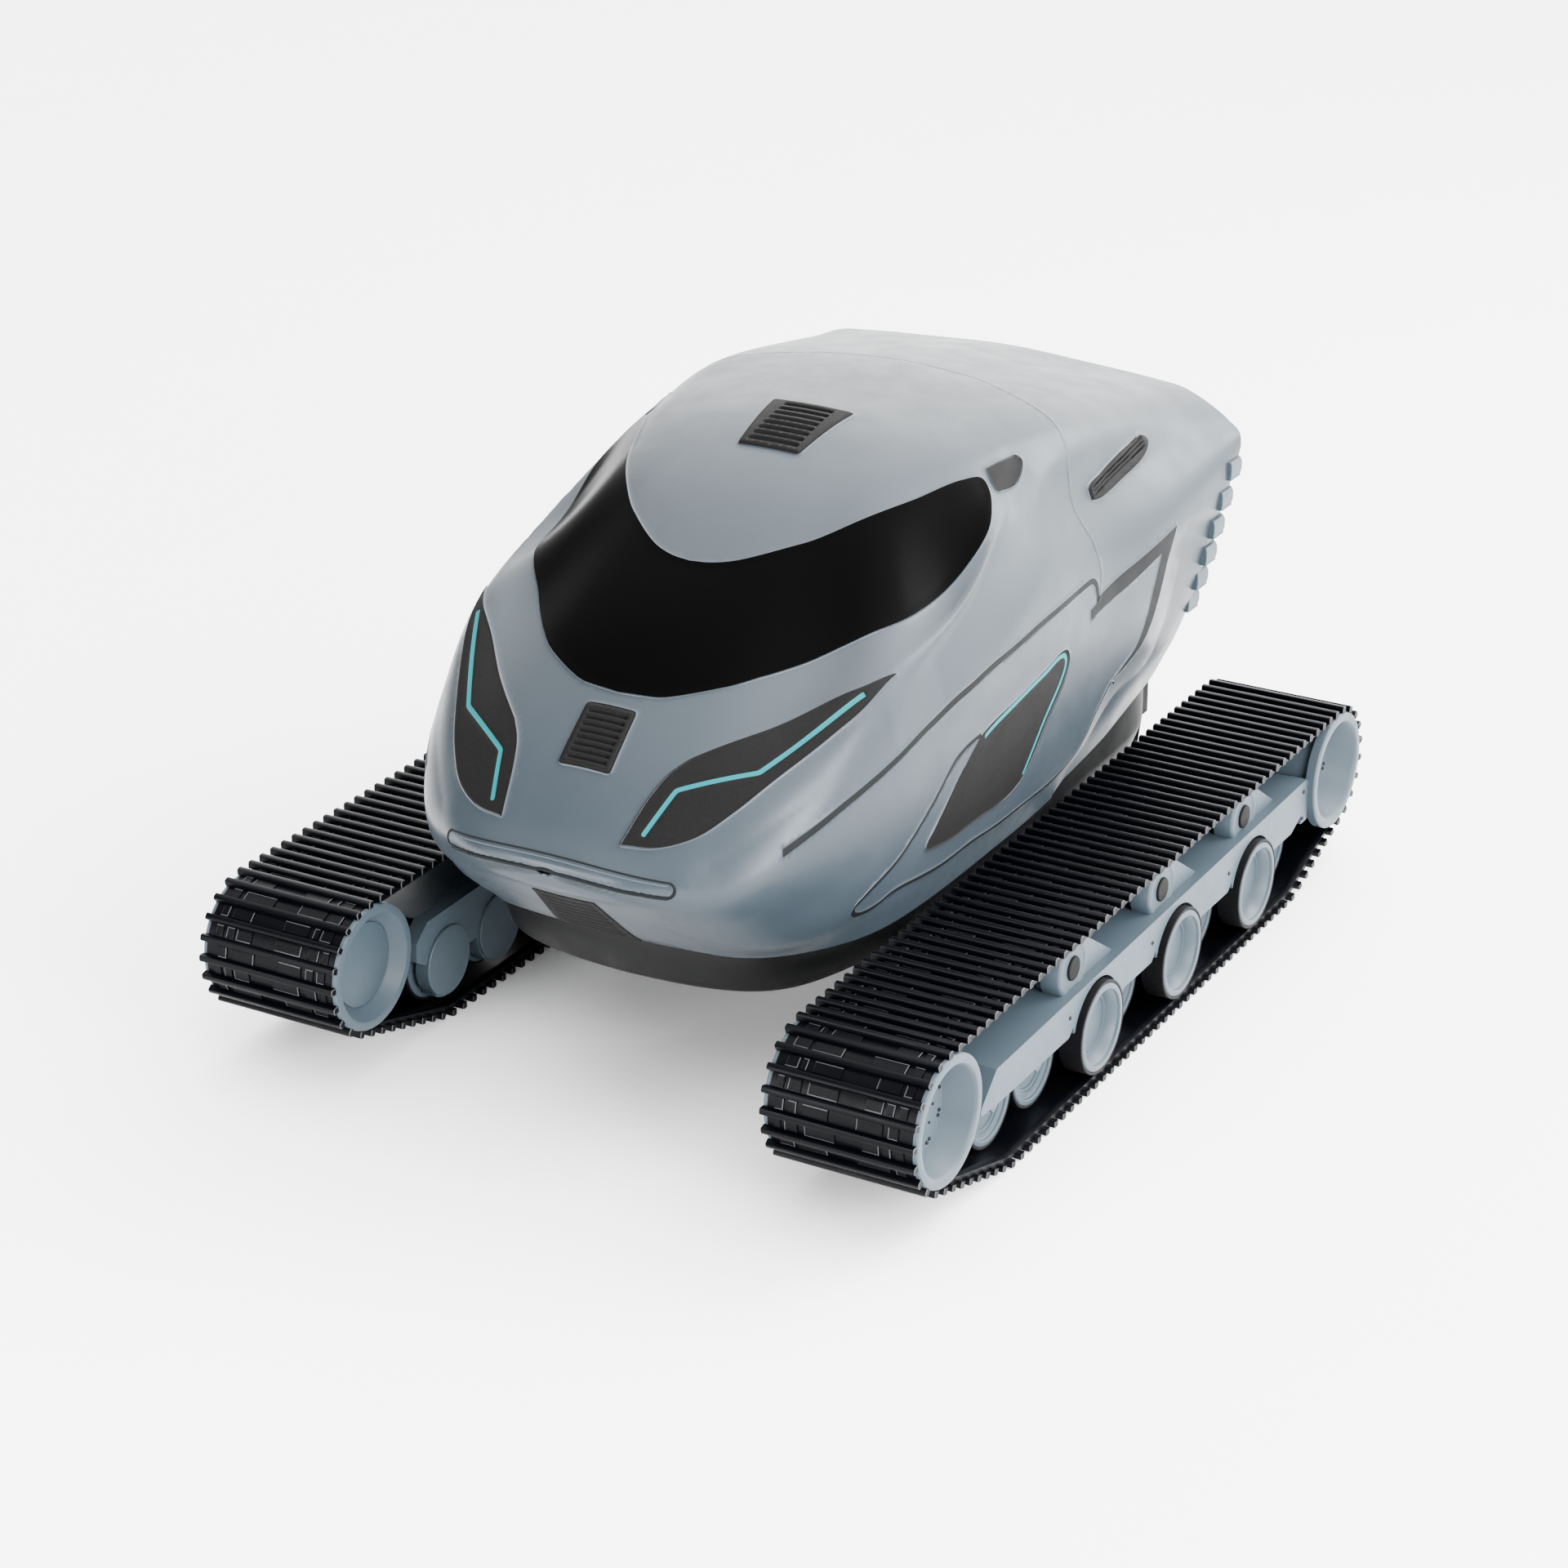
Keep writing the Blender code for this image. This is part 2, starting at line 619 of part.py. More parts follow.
def make_belt(side, name):
    pitch = BELT_LENGTH / BAR_COUNT
    low, high = sided(side, TRACK_OUTER_X - TRACK_WIDTH, TRACK_OUTER_X)
    stops = belt_stops(18)
    inner = [belt_point(s, 0) for s in stops]
    middle = [belt_point(s, BAND_THICK) for s in stops]
    overlap = [belt_point(s, BAND_THICK + 0.0003) for s in stops]
    toothed = []
    for k in range(BAR_COUNT):
        s = k * pitch
        toothed.append(belt_point(s - 0.22 * pitch, BAND_THICK + BAR_HEIGHT))
        toothed.append(belt_point(s + 0.22 * pitch, BAND_THICK + BAR_HEIGHT))
        toothed.append(belt_point(s + 0.50 * pitch, BAND_THICK + 0.0014))
    bars = loop(name, toothed, middle, low, high)
    band = loop(name + "_band", overlap, inner, low + BAND_INSET, high - BAND_INSET)
    belt = union(name, [bars, band])
    finish(belt, RUBBER)


def wheel(name, profile, centre, segments, look=PALE_GREY):
    made = turned(name, profile, centre, segments)
    finish(made, look, smooth=True)
    set_origin(made, (0, centre[0], centre[1]))
    return made


def end_wheel_profile(side):
    """Two dished halves joined by a shaft: the frame's arm, or the motor, sits between them."""
    out, inn = TRACK_OUTER_X, TRACK_OUTER_X - TRACK_WIDTH
    half = [
        (inn, 0.041), (inn, END_RIM_R), (inn + 0.009, END_RIM_R), (inn + 0.009, END_DRUM_R),
        (0.2185, END_DRUM_R),
        (0.2185, 0.0090), (0.2685, 0.0090), (0.2685, END_DRUM_R), (out - 0.009, END_DRUM_R),
        (out - 0.009, END_RIM_R),
        (out, END_RIM_R), (out, 0.041), (out - 0.022, 0.033), (out - 0.024, 0.0045),
        (inn + 0.016, 0.0045), (inn + 0.014, 0.034),
    ]
    return half if side > 0 else [(-x, r) for x, r in half]


def road_profile(side, low, high, radius):
    """A roller with a dished outer face and a bore for its pin."""
    bore = PIN_R + RUNNING_GAP
    dish = min(0.010, (high - low) / 3)
    half = [(low, bore), (low, radius), (high, radius), (high, radius - 0.009),
        (high - dish, radius - 0.013), (high - dish, bore)]
    return half if side > 0 else [(-x, r) for x, r in half]


def make_wheels(side, tag):
    ends = (("idler_wheel_", -WHEELBASE / 2), ("drive_wheel_", WHEELBASE / 2))
    for stem, y in ends:
        wheel(stem + tag, end_wheel_profile(side), (y, AXLE_Z), 20)
    for number, place in enumerate(OUTER_ROAD_WHEELS, 1):
        centre, radius = road_wheel(place)
        wheel(f"outer_road_wheel_{tag}_{number}", road_profile(side, 0.2845, 0.3041, radius), centre, 18)
    for number, place in enumerate(INNER_ROAD_WHEELS, 1):
        centre, radius = road_wheel(place)
        wheel(f"inner_road_wheel_{tag}_{number}", road_profile(side, 0.2045, 0.2825, radius), centre, 16)
    for number in range(3):
        y = RETURN_FIRST_Y + number * RETURN_PITCH
        bore = 0.005 + RUNNING_GAP
        profile = [(0.2045, bore), (0.2045, RETURN_R), (0.2740, RETURN_R), (0.2740, bore)]
        if side < 0:
            profile = [(-x, r) for x, r in profile]
        wheel(f"return_roller_{tag}_{number + 1}", profile, (y, RETURN_Z), 12)


def plate_outline(rear_top):
    """A side plate in side view: a bar with a bevelled nose, and its top edge this high at the rear."""
    return [
        (-0.284, 0.058),
        (-0.284, 0.078),
        (-0.270, WEB_Z[1]),
        (0.2985, rear_top),
        (0.2985, 0.058),
        (0.270, PLATE_LOW_Z),
        (-0.262, PLATE_LOW_Z),
    ]


def make_side_frame(side, tag):
    def span(low, high):
        return sided(side, low, high)

    pieces = [prism_x("plate", plate_outline(0.0935), *span(*OUTER_PLATE_X))]
    for place in OUTER_ROAD_WHEELS:
        centre, radius = road_wheel(place)
        cut(pieces[0], rod("notch", *span(0.28, 0.31), centre, radius + 0.0012, 20))
    inner = prism_x("inner_plate", plate_outline(WEB_Z[1]), *span(*INNER_PLATE_X))
    pieces.append(inner)
    for place in INNER_ROAD_WHEELS:
        centre, radius = road_wheel(place)
        pieces.append(rod("cover", *span(0.1880, INNER_PLATE_X[1]), centre, 0.031, 14))
        pieces.append(rod("pin", *span(0.1950, 0.2870), centre, PIN_R, 10))
    pieces.append(prism_x("web", [(-0.27, WEB_Z[0]), (-0.27, WEB_Z[1]), (0.298, WEB_Z[1]),
        (0.298, WEB_Z[0])], *span(0.195, 0.290)))
    for place in OUTER_ROAD_WHEELS:
        centre, radius = road_wheel(place)
        low, high = span(0.196, 0.2830)
        pieces.append(box("block", (low, centre[0] - 0.029, 0.040), (high, centre[0] + 0.029, 0.0875)))
        pieces.append(rod("stub", *span(0.2700, 0.2990), centre, PIN_R, 10))
    for number in range(3):
        y = RETURN_FIRST_Y + number * RETURN_PITCH
        gusset = [(y - 0.015, 0.0875), (y - 0.0195, RETURN_Z), (y + 0.006, 0.1301), (y + 0.012, 0.1270),
            (y + 0.066, 0.0875)]
        pieces.append(prism_x("gusset", gusset, *span(*BOSS_X)))
        pieces.append(rod("boss", *span(*BOSS_X), (y, RETURN_Z), 0.0204, 16))
        pieces.append(rod("roller_pin", *span(0.2060, 0.2860), (y, RETURN_Z), 0.005, 8))
    arm = [(-0.375, 0.078), (-0.375, 0.096), (-0.365, 0.106), (-0.330, 0.106), (-0.262, 0.0885),
        (-0.262, 0.0868), (-0.284, 0.0868)]
    arm += [(-0.292, 0.066), (-0.330, 0.064), (-0.365, 0.068)]
    pieces.append(prism_x("idler_arm", arm, *span(0.2300, 0.2570)))
    low, high = span(0.2300, 0.2570)
    pieces.append(box("motor_mount", (low, 0.2960, 0.0700), (high, 0.3170, 0.1000)))
    pieces.append(box("rear_rib", (low, 0.2900, 0.0860), (high, 0.2980, 0.0885)))
    frame = union("side_frame_" + tag, pieces)
    cut(frame, rod("idler_bore", *span(0.2200, 0.2650), (-WHEELBASE / 2, AXLE_Z), 0.0095, 20))
    finish(frame, PALE_GREY)


def make_motor(side, tag):
    profile = [(0.2240, 0.0095), (0.2240, 0.0325), (0.2630, 0.0325), (0.2630, 0.0095)]
    if side < 0:
        profile = [(-x, r) for x, r in profile]
    motor = turned("drive_motor_" + tag, profile, (WHEELBASE / 2, AXLE_Z), 20)
    finish(motor, METAL, smooth=True)


# ---------------------------------------------------------------- assembly

clear_scene()
SKINS = {offset: skin(f"skin_{offset}", offset) for offset in (0.0, 0.3, -1.0, -1.2, -1.5, -3.0, -3.3)}
front_shell, rear_shell = make_shells()
make_inlays(front_shell, rear_shell)
finish(front_shell, SATIN_GREY, smooth=True)
finish(rear_shell, SATIN_GREY, smooth=True)
discard(*SKINS.values())
make_pan()
make_insides()
make_rear_details()
for side, tag in ((1, "right"), (-1, "left")):
    make_belt(side, "track_belt_" + tag)
    make_wheels(side, tag)
    make_side_frame(side, tag)
    make_motor(side, tag)
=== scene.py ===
import json
import math

import bmesh
import bpy
import numpy as np
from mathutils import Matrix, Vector
from mathutils.bvhtree import BVHTree
from mathutils.geometry import delaunay_2d_cdt


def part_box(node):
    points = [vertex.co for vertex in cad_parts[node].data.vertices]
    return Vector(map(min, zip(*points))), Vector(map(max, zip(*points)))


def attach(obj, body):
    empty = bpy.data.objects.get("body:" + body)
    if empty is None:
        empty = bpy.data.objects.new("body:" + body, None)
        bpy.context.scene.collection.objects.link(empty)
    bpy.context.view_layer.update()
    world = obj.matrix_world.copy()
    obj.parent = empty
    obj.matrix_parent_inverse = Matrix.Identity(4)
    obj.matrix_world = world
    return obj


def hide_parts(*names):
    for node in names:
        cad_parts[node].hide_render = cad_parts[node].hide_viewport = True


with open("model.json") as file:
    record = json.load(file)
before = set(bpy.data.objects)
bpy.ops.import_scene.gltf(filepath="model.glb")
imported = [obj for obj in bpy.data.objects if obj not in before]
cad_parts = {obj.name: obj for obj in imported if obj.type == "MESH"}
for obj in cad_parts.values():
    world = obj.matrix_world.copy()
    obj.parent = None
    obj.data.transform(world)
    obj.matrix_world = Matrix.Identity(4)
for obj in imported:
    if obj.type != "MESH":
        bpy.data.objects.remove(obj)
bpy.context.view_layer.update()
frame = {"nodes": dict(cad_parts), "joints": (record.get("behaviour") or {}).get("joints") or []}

MM = 0.001

# ---------------------------------------------------------------- camera, lights, floor

CAMERA_PLACE = (1.41634, -2.54130, 1.43206)
CAMERA_TURN, CAMERA_FALL = 29.605, 23.902
LIGHT_TARGET = Vector((0, 0, 0.2))
DOME_TOP = (0.42, 0.62, 0.66)
DOME_DIM, DOME_BRIGHT = 0.35, 11.5


def make_camera():
    data = bpy.data.cameras.new("camera")
    data.lens = 92.04
    data.sensor_width = 36.0
    data.clip_start = 0.05
    camera = bpy.data.objects.new("camera", data)
    camera.location = CAMERA_PLACE
    camera.rotation_euler = (math.radians(90 - CAMERA_FALL), 0.0, math.radians(CAMERA_TURN))
    bpy.context.scene.collection.objects.link(camera)
    bpy.context.scene.camera = camera


def make_light(name, location, size, power):
    """A rectangular soft box that faces the middle of the object."""
    data = bpy.data.lights.new(name, "AREA")
    data.shape = "RECTANGLE"
    data.size, data.size_y = size
    data.energy = power
    light = bpy.data.objects.new(name, data)
    light.location = location
    light.rotation_euler = (LIGHT_TARGET - Vector(location)).to_track_quat("-Z", "Y").to_euler()
    bpy.context.scene.collection.objects.link(light)


def make_world():
    """A white studio dome, brightest overhead and behind, dim in front."""
    world = bpy.data.worlds.new("studio")
    bpy.context.scene.world = world
    world.use_nodes = True
    nodes, links = world.node_tree.nodes, world.node_tree.links
    place = nodes.new("ShaderNodeTexCoord")
    along = nodes.new("ShaderNodeVectorMath")
    along.operation = "DOT_PRODUCT"
    along.inputs[1].default_value = DOME_TOP
    links.new(place.outputs["Generated"], along.inputs[0])
    rise = nodes.new("ShaderNodeMapRange")
    rise.inputs["From Min"].default_value = -0.1
    rise.inputs["From Max"].default_value = 1.0
    rise.inputs["To Min"].default_value = DOME_DIM
    rise.inputs["To Max"].default_value = DOME_BRIGHT
    links.new(along.outputs["Value"], rise.inputs["Value"])
    nodes["Background"].inputs["Color"].default_value = (1.0, 1.0, 1.0, 1.0)
    links.new(rise.outputs["Result"], nodes["Background"].inputs["Strength"])


# ---------------------------------------------------------------- materials


def finish_material(
    name, colour, roughness, metallic=0.0, coat=0.0, coat_roughness=0.08, specular=0.5, vary=0.06,
    grain=0.0, grain_scale=900.0, bump=0.0, bump_scale=400.0, rough_vary=0.06,
):
    """A procedural finish: slow colour drift, fine grain, a roughness map and micro relief."""
    made = bpy.data.materials.new(name)
    made.use_nodes = True
    nodes, links = made.node_tree.nodes, made.node_tree.links
    shader = nodes["Principled BSDF"]
    shader.inputs["Metallic"].default_value = metallic
    shader.inputs["Coat Weight"].default_value = coat
    shader.inputs["Coat Roughness"].default_value = coat_roughness
    shader.inputs["Specular IOR Level"].default_value = specular
    place = nodes.new("ShaderNodeTexCoord")

    def noise(scale, detail, rough=0.55):
        node = nodes.new("ShaderNodeTexNoise")
        node.inputs["Scale"].default_value = scale
        node.inputs["Detail"].default_value = detail
        node.inputs["Roughness"].default_value = rough
        links.new(place.outputs["Object"], node.inputs["Vector"])
        return node

    def ramp(source, low, high, start=0.3, end=0.7):
        node = nodes.new("ShaderNodeMapRange")
        node.inputs["From Min"].default_value = start
        node.inputs["From Max"].default_value = end
        node.inputs["To Min"].default_value = low
        node.inputs["To Max"].default_value = high
        links.new(source, node.inputs["Value"])
        return node.outputs["Result"]

    def mix(factor, first, second):
        node = nodes.new("ShaderNodeMix")
        node.data_type = "RGBA"
        links.new(factor, node.inputs["Factor"])
        for socket, value in ((node.inputs[6], first), (node.inputs[7], second)):
            if isinstance(value, tuple):
                socket.default_value = (*value, 1.0)
            else:
                links.new(value, socket)
        return node.outputs[2]

    darker = tuple(c * (1 - vary) for c in colour)
    lighter = tuple(min(1.0, c * (1 + vary)) for c in colour)
    tone = mix(ramp(noise(9.0, 3.0).outputs["Fac"], 0.0, 1.0), darker, lighter)
    if grain:
        speck = noise(grain_scale, 2.0, 0.6).outputs["Fac"]
        dull = tuple(c * (1 - grain) for c in colour)
        tone = mix(ramp(speck, 0.0, 1.0, 0.35, 0.65), dull, tone)
    links.new(tone, shader.inputs["Base Color"])
    low, high = max(0.02, roughness - rough_vary), min(1.0, roughness + rough_vary)
    links.new(ramp(noise(35.0, 4.0).outputs["Fac"], low, high), shader.inputs["Roughness"])
    if bump:
        relief = nodes.new("ShaderNodeBump")
        relief.inputs["Strength"].default_value = bump
        relief.inputs["Distance"].default_value = 0.0004
        links.new(noise(bump_scale, 3.0).outputs["Fac"], relief.inputs["Height"])
        links.new(relief.outputs["Normal"], shader.inputs["Normal"])
    return made


LOOKS = {
    "body": finish_material(
        "body_paint", (0.0192, 0.0266, 0.0338), 0.37, metallic=0.15, coat=0.05, coat_roughness=0.25,
        specular=0.26, vary=0.01, grain=0.03, grain_scale=2600.0, bump=0.05, bump_scale=700.0,
    ),
    "pale": finish_material(
        "pale_paint", (0.034, 0.048, 0.060), 0.45, specular=0.2, vary=0.03,
        grain=0.05, grain_scale=1800.0, bump=0.06, bump_scale=900.0,
    ),
    "dark": finish_material(
        "dark_trim", (0.0046, 0.0045, 0.0045), 0.6, specular=0.06, vary=0.10,
        grain=0.45, grain_scale=1500.0, bump=0.4, bump_scale=1500.0,
    ),
    "stripe": finish_material(
        "stripe_trim", (0.0040, 0.0046, 0.0050), 0.55, specular=0.07, vary=0.10,
        grain=0.3, bump=0.2, bump_scale=1500.0,
    ),
    "visor": finish_material(
        "visor_gloss", (0.0001, 0.0001, 0.00015), 0.25, specular=0.012, vary=0.2,
        rough_vary=0.03, bump=0.01, bump_scale=120.0,
    ),
    "cyan": finish_material(
        "accent_cyan", (0.0008, 0.098, 0.112), 0.4, specular=0.1, vary=0.05, bump=0.04,
    ),
    "rubber": finish_material(
        "belt_rubber", (0.0006, 0.0007, 0.0014), 0.36, specular=0.05, vary=0.25,
        grain=0.3, grain_scale=1200.0, bump=0.15, bump_scale=900.0,
    ),
    # Light grey for the belt's bar ends and pad edges: painted edge highlights, also standing for rubbed
    # wear.
    "edge": finish_material(
        "belt_edge_wear_and_highlight", (0.034, 0.037, 0.041), 0.45, specular=0.2, vary=0.25, grain=0.3, bump=0.1,
    ),
    "tyre": finish_material(
        "tyre_band", (0.0012, 0.0012, 0.0016), 0.6, specular=0.1, vary=0.2, bump=0.2, bump_scale=900.0,
    ),
    "pan": finish_material(
        "pan_black", (0.0010, 0.0010, 0.0012), 0.5, specular=0.12, vary=0.15, bump=0.15, bump_scale=700.0,
    ),
    "metal": finish_material(
        "motor_metal", (0.12, 0.125, 0.13), 0.35, metallic=1.0, vary=0.05, bump=0.05,
    ),
    "screw": finish_material(
        "screw_steel", (0.010, 0.011, 0.012), 0.4, metallic=0.8, vary=0.1, bump=0.05,
    ),
    "board": finish_material(
        "circuit_board", (0.008, 0.04, 0.02), 0.45, specular=0.2, vary=0.1,
        grain=0.3, grain_scale=500.0, bump=0.1,
    ),
}


def new_object(name, vertices, faces, material, body="hull"):
    """A smooth mesh that rides a body, with its material slot if it has one."""
    mesh = bpy.data.meshes.new(name)
    mesh.from_pydata([tuple(v) for v in vertices], [], [tuple(f) for f in faces])
    mesh.materials.append(material)
    mesh.shade_smooth()
    obj = bpy.data.objects.new(name, mesh)
    bpy.context.scene.collection.objects.link(obj)
    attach(obj, body)
    return obj


# ---------------------------------------------------------------- body skin

# Half sections: y, then (x, z) from the roof's centre line down to the sill, in millimetres.
STATIONS = {
    -391: [
        (0, 227), (2, 227), (4, 226.8), (5.5, 226.3), (6, 225.5), (6, 224.7), (5.5, 224), (4, 223.6),
        (1.5, 223.5),
    ],
    -390.2: [
        (0, 231), (12, 230.8), (22, 230), (30, 228.4), (34, 226.2), (34, 222.8), (30, 220), (21, 218),
        (8, 217),
    ],
    -388: [
        (0, 235), (20, 234.5), (38, 233), (52, 230), (60, 225.5), (60, 220), (53, 215.5), (38, 212.5),
        (15, 211),
    ],
    -372: [
        (0, 250), (36, 248), (64, 243), (86, 236), (98, 226), (98, 216), (86, 207.5), (55, 203),
        (20, 202),
    ],
    -345: [
        (0, 278.5), (48, 275), (86, 266.5), (112, 254), (129, 236), (134, 215), (123, 192), (85, 178),
        (30, 173),
    ],
    -300: [
        (0, 316), (65, 310), (114, 298), (142, 285), (159, 263), (163, 235), (158, 200), (144, 162),
        (105, 140),
    ],
    -250: [
        (0, 353.5), (65, 345), (116, 326), (152, 320), (173, 301), (179, 262), (176, 210), (168, 168),
        (149, 140),
    ],
    -200: [
        (0, 385), (65, 377), (126, 348), (164, 349), (182, 331), (190, 285), (188, 230), (182, 180),
        (170, 140),
    ],
    -100: [
        (0, 437), (60, 433), (110, 421), (165, 368), (186, 367), (199, 320), (197, 240), (189, 180),
        (176, 140),
    ],
    0: [
        (0, 460.5), (70, 456), (125, 444), (158, 422), (180, 399), (200, 335), (199, 250), (189, 180),
        (176, 140),
    ],
    100: [
        (0, 461), (75, 456), (140, 445), (168, 424), (178, 385), (198, 328), (197, 250), (187, 185),
        (174, 143),
    ],
    200: [
        (0, 444.5), (75, 440), (138, 432), (166, 416), (182, 386), (209, 340), (204, 265), (190, 200),
        (172, 158),
    ],
    330: [
        (0, 415.5), (80, 411.5), (135, 407.5), (165, 402.5), (200.5, 383), (214.5, 362), (208.5, 288),
        (190, 232), (166, 180),
    ],
}
RINGS = np.array([[(x, y, z) for x, z in STATIONS[y]] for y in sorted(STATIONS)], float)
RING_U = np.concatenate([[0], np.cumsum(np.linalg.norm(np.diff(RINGS, axis=0), axis=2).mean(axis=1))])
T_END = RING_U[-1]


def ring_slopes():
    """Slopes along the body at each ring that add no wave between the rings."""
    steps = np.diff(RING_U)[:, None, None]
    rates = np.diff(RINGS, axis=0) / steps
    slopes = np.zeros_like(RINGS)
    before, after = 2 * steps[1:] + steps[:-1], steps[1:] + 2 * steps[:-1]
    with np.errstate(divide="ignore", invalid="ignore"):
        mean = (before + after) / (before / rates[:-1] + after / rates[1:])
    slopes[1:-1] = np.where(rates[:-1] * rates[1:] > 0, mean, 0)
    slopes[0], slopes[-1] = rates[0], rates[-1]
    slopes[0, :, 1] = 0
    return slopes


RING_SLOPES = ring_slopes()


def rough_skin(us, vs):
    """Points of the curved patch through the rings, at u along the body and v across it (0 to 8)."""
    us, vs = np.asarray(us, float), np.asarray(vs, float)
    i = np.clip(np.searchsorted(RING_U, us, side="right") - 1, 0, len(RING_U) - 2)
    width = (RING_U[i + 1] - RING_U[i])[:, None, None]
    t = ((us - RING_U[i]) / width[:, 0, 0])[:, None, None]
    half = (
        (1 + 2 * t) * (1 - t) ** 2 * RINGS[i]
        + t * (1 - t) ** 2 * width * RING_SLOPES[i]
        + t * t * (3 - 2 * t) * RINGS[i + 1]
        + t * t * (t - 1) * width * RING_SLOPES[i + 1]
    )
    first = half[:, 1:2] * np.array([-1, 1, 1])
    half = np.concatenate([first, half, 2 * half[:, -1:] - half[:, -2:-1]], axis=1)
    j = np.clip(np.floor(vs).astype(int), 0, 7)
    t = (vs - j)[:, None]
    row = np.arange(len(us))
    a, b, c, d = (half[row, j + k] for k in range(4))
    return 0.5 * (2 * b + (c - a) * t + (2 * a - 5 * b + 4 * c - d) * t**2 + (3 * b - a - 3 * c + d) * t**3)


# The rear end leans: its lower part ends this far ahead of its upper edge, at these heights.
REAR_LEAN = ([200, 240, 270, 300, 330, 350, 364, 378], [30, 42, 46, 41, 29, 17, 5, 0])
SKIN_U = np.linspace(0, T_END, 700)
SKIN_V = np.linspace(0, 8, 241)
FAIR_ROWS, FAIR_LENGTH = 90, 24.0
ROOF_LEVEL, ROOF_FLATTENING = 440, 0.06


def fair_skin():
    """The patch on a fine grid, with its slow waves along the body smoothed out behind the nose."""
    rough = np.stack([rough_skin(np.full(len(SKIN_V), u), SKIN_V) for u in SKIN_U])
    pad = FAIR_ROWS
    before, after = 2 * rough[:1] - rough[pad:0:-1], 2 * rough[-1:] - rough[-2 : -pad - 2 : -1]
    padded = np.concatenate([before, rough, after])
    reach = np.arange(-pad, pad + 1) * SKIN_U[1]
    fair = np.zeros_like(rough)
    weight = np.exp(-0.5 * (reach / FAIR_LENGTH) ** 2)
    for k, share in enumerate(weight / weight.sum()):
        fair += share * padded[k : k + len(rough)]
    keep = np.interp(SKIN_U, [20, 95], [0, 1])[:, None, None]
    fair = rough * (1 - keep) + fair * keep
    fair[:, 0, 0] = 0.0
    ramp = np.clip((fair[..., 1] - 225) / 105, 0, 1)
    fair[..., 1] -= np.interp(fair[..., 2], *REAR_LEAN) * ramp * ramp
    fair[..., 2] -= ROOF_FLATTENING * np.maximum(fair[..., 2] - ROOF_LEVEL, 0)
    return fair


SKIN = fair_skin()


def skin(us, vs):
    """Points on the body skin, in millimetres, at u along the body and v across it (0 to 8)."""
    a = np.clip(np.asarray(us, float) / SKIN_U[1], 0, len(SKIN_U) - 1.0001)
    b = np.clip(np.asarray(vs, float) / SKIN_V[1], 0, len(SKIN_V) - 1.0001)
    i, j = a.astype(int), b.astype(int)
    a, b = (a - i)[:, None], (b - j)[:, None]
    low = SKIN[i, j] * (1 - b) + SKIN[i, j + 1] * b
    high = SKIN[i + 1, j] * (1 - b) + SKIN[i + 1, j + 1] * b
    return low * (1 - a) + high * a


def skin_normals(us, vs):
    """Outward unit normals of the skin."""
    along = skin(np.minimum(us + 2, T_END), vs) - skin(np.maximum(us - 2, 0), vs)
    across = skin(us, np.minimum(vs + 0.05, 8)) - skin(us, np.maximum(vs - 0.05, 0))
    normals = np.cross(along, across)
    return normals / np.maximum(1e-9, np.linalg.norm(normals, axis=1))[:, None]


# The skin is flattened to (t, s): t runs along the body and s across it, both close to true lengths.
GRID = np.stack([skin(np.full(len(SKIN_V), u), SKIN_V) for u in SKIN_U])
Y_ROWS = np.maximum.accumulate(GRID[:, 0, 1]) + np.arange(len(SKIN_U)) * 1e-9
STEPS = np.linalg.norm(np.diff(GRID, axis=1), axis=2)
S_ROWS = np.concatenate([np.zeros((len(SKIN_U), 1)), np.cumsum(STEPS, axis=1)], axis=1)
WIDTH = S_ROWS[:, -1]


def unflatten(points):
    """(u, v) of flat (t, s) points."""
    place = points[:, 0] / T_END * (len(SKIN_U) - 1)
    row = np.clip(place.astype(int), 0, len(SKIN_U) - 2)
    share = (place - row)[:, None]
    lengths = S_ROWS[row] * (1 - share) + S_ROWS[row + 1] * share
    vs = np.array([np.interp(s, line, SKIN_V) for s, line in zip(points[:, 1], lengths)])
    return points[:, 0], vs


def flatten(points):
    """Flat (t, s) points of (x, y, z) points that lie on or near the skin."""
    flat = []
    for point in points:
        t = np.interp(point[1], Y_ROWS, SKIN_U)
        for _ in range(4):
            line = skin(np.full(len(SKIN_V), t), SKIN_V)
            edge = np.diff(line, axis=0)
            share = ((np.array(point) - line[:-1]) * edge).sum(axis=1) / (edge**2).sum(axis=1)
            share = np.clip(share, 0, 1)
            close = line[:-1] + share[:, None] * edge
            k = int(np.argmin(((close - point)[:, [0, 2]] ** 2).sum(axis=1)))
            if point[1] < 150 or abs(point[1] - close[k, 1]) < 0.1:
                break
            t = min(T_END, t + point[1] - close[k, 1])
        lengths = np.concatenate([[0], np.cumsum(np.linalg.norm(edge, axis=1))])
        flat.append((t, lengths[k] + share[k] * (lengths[k + 1] - lengths[k])))
    return np.array(flat)


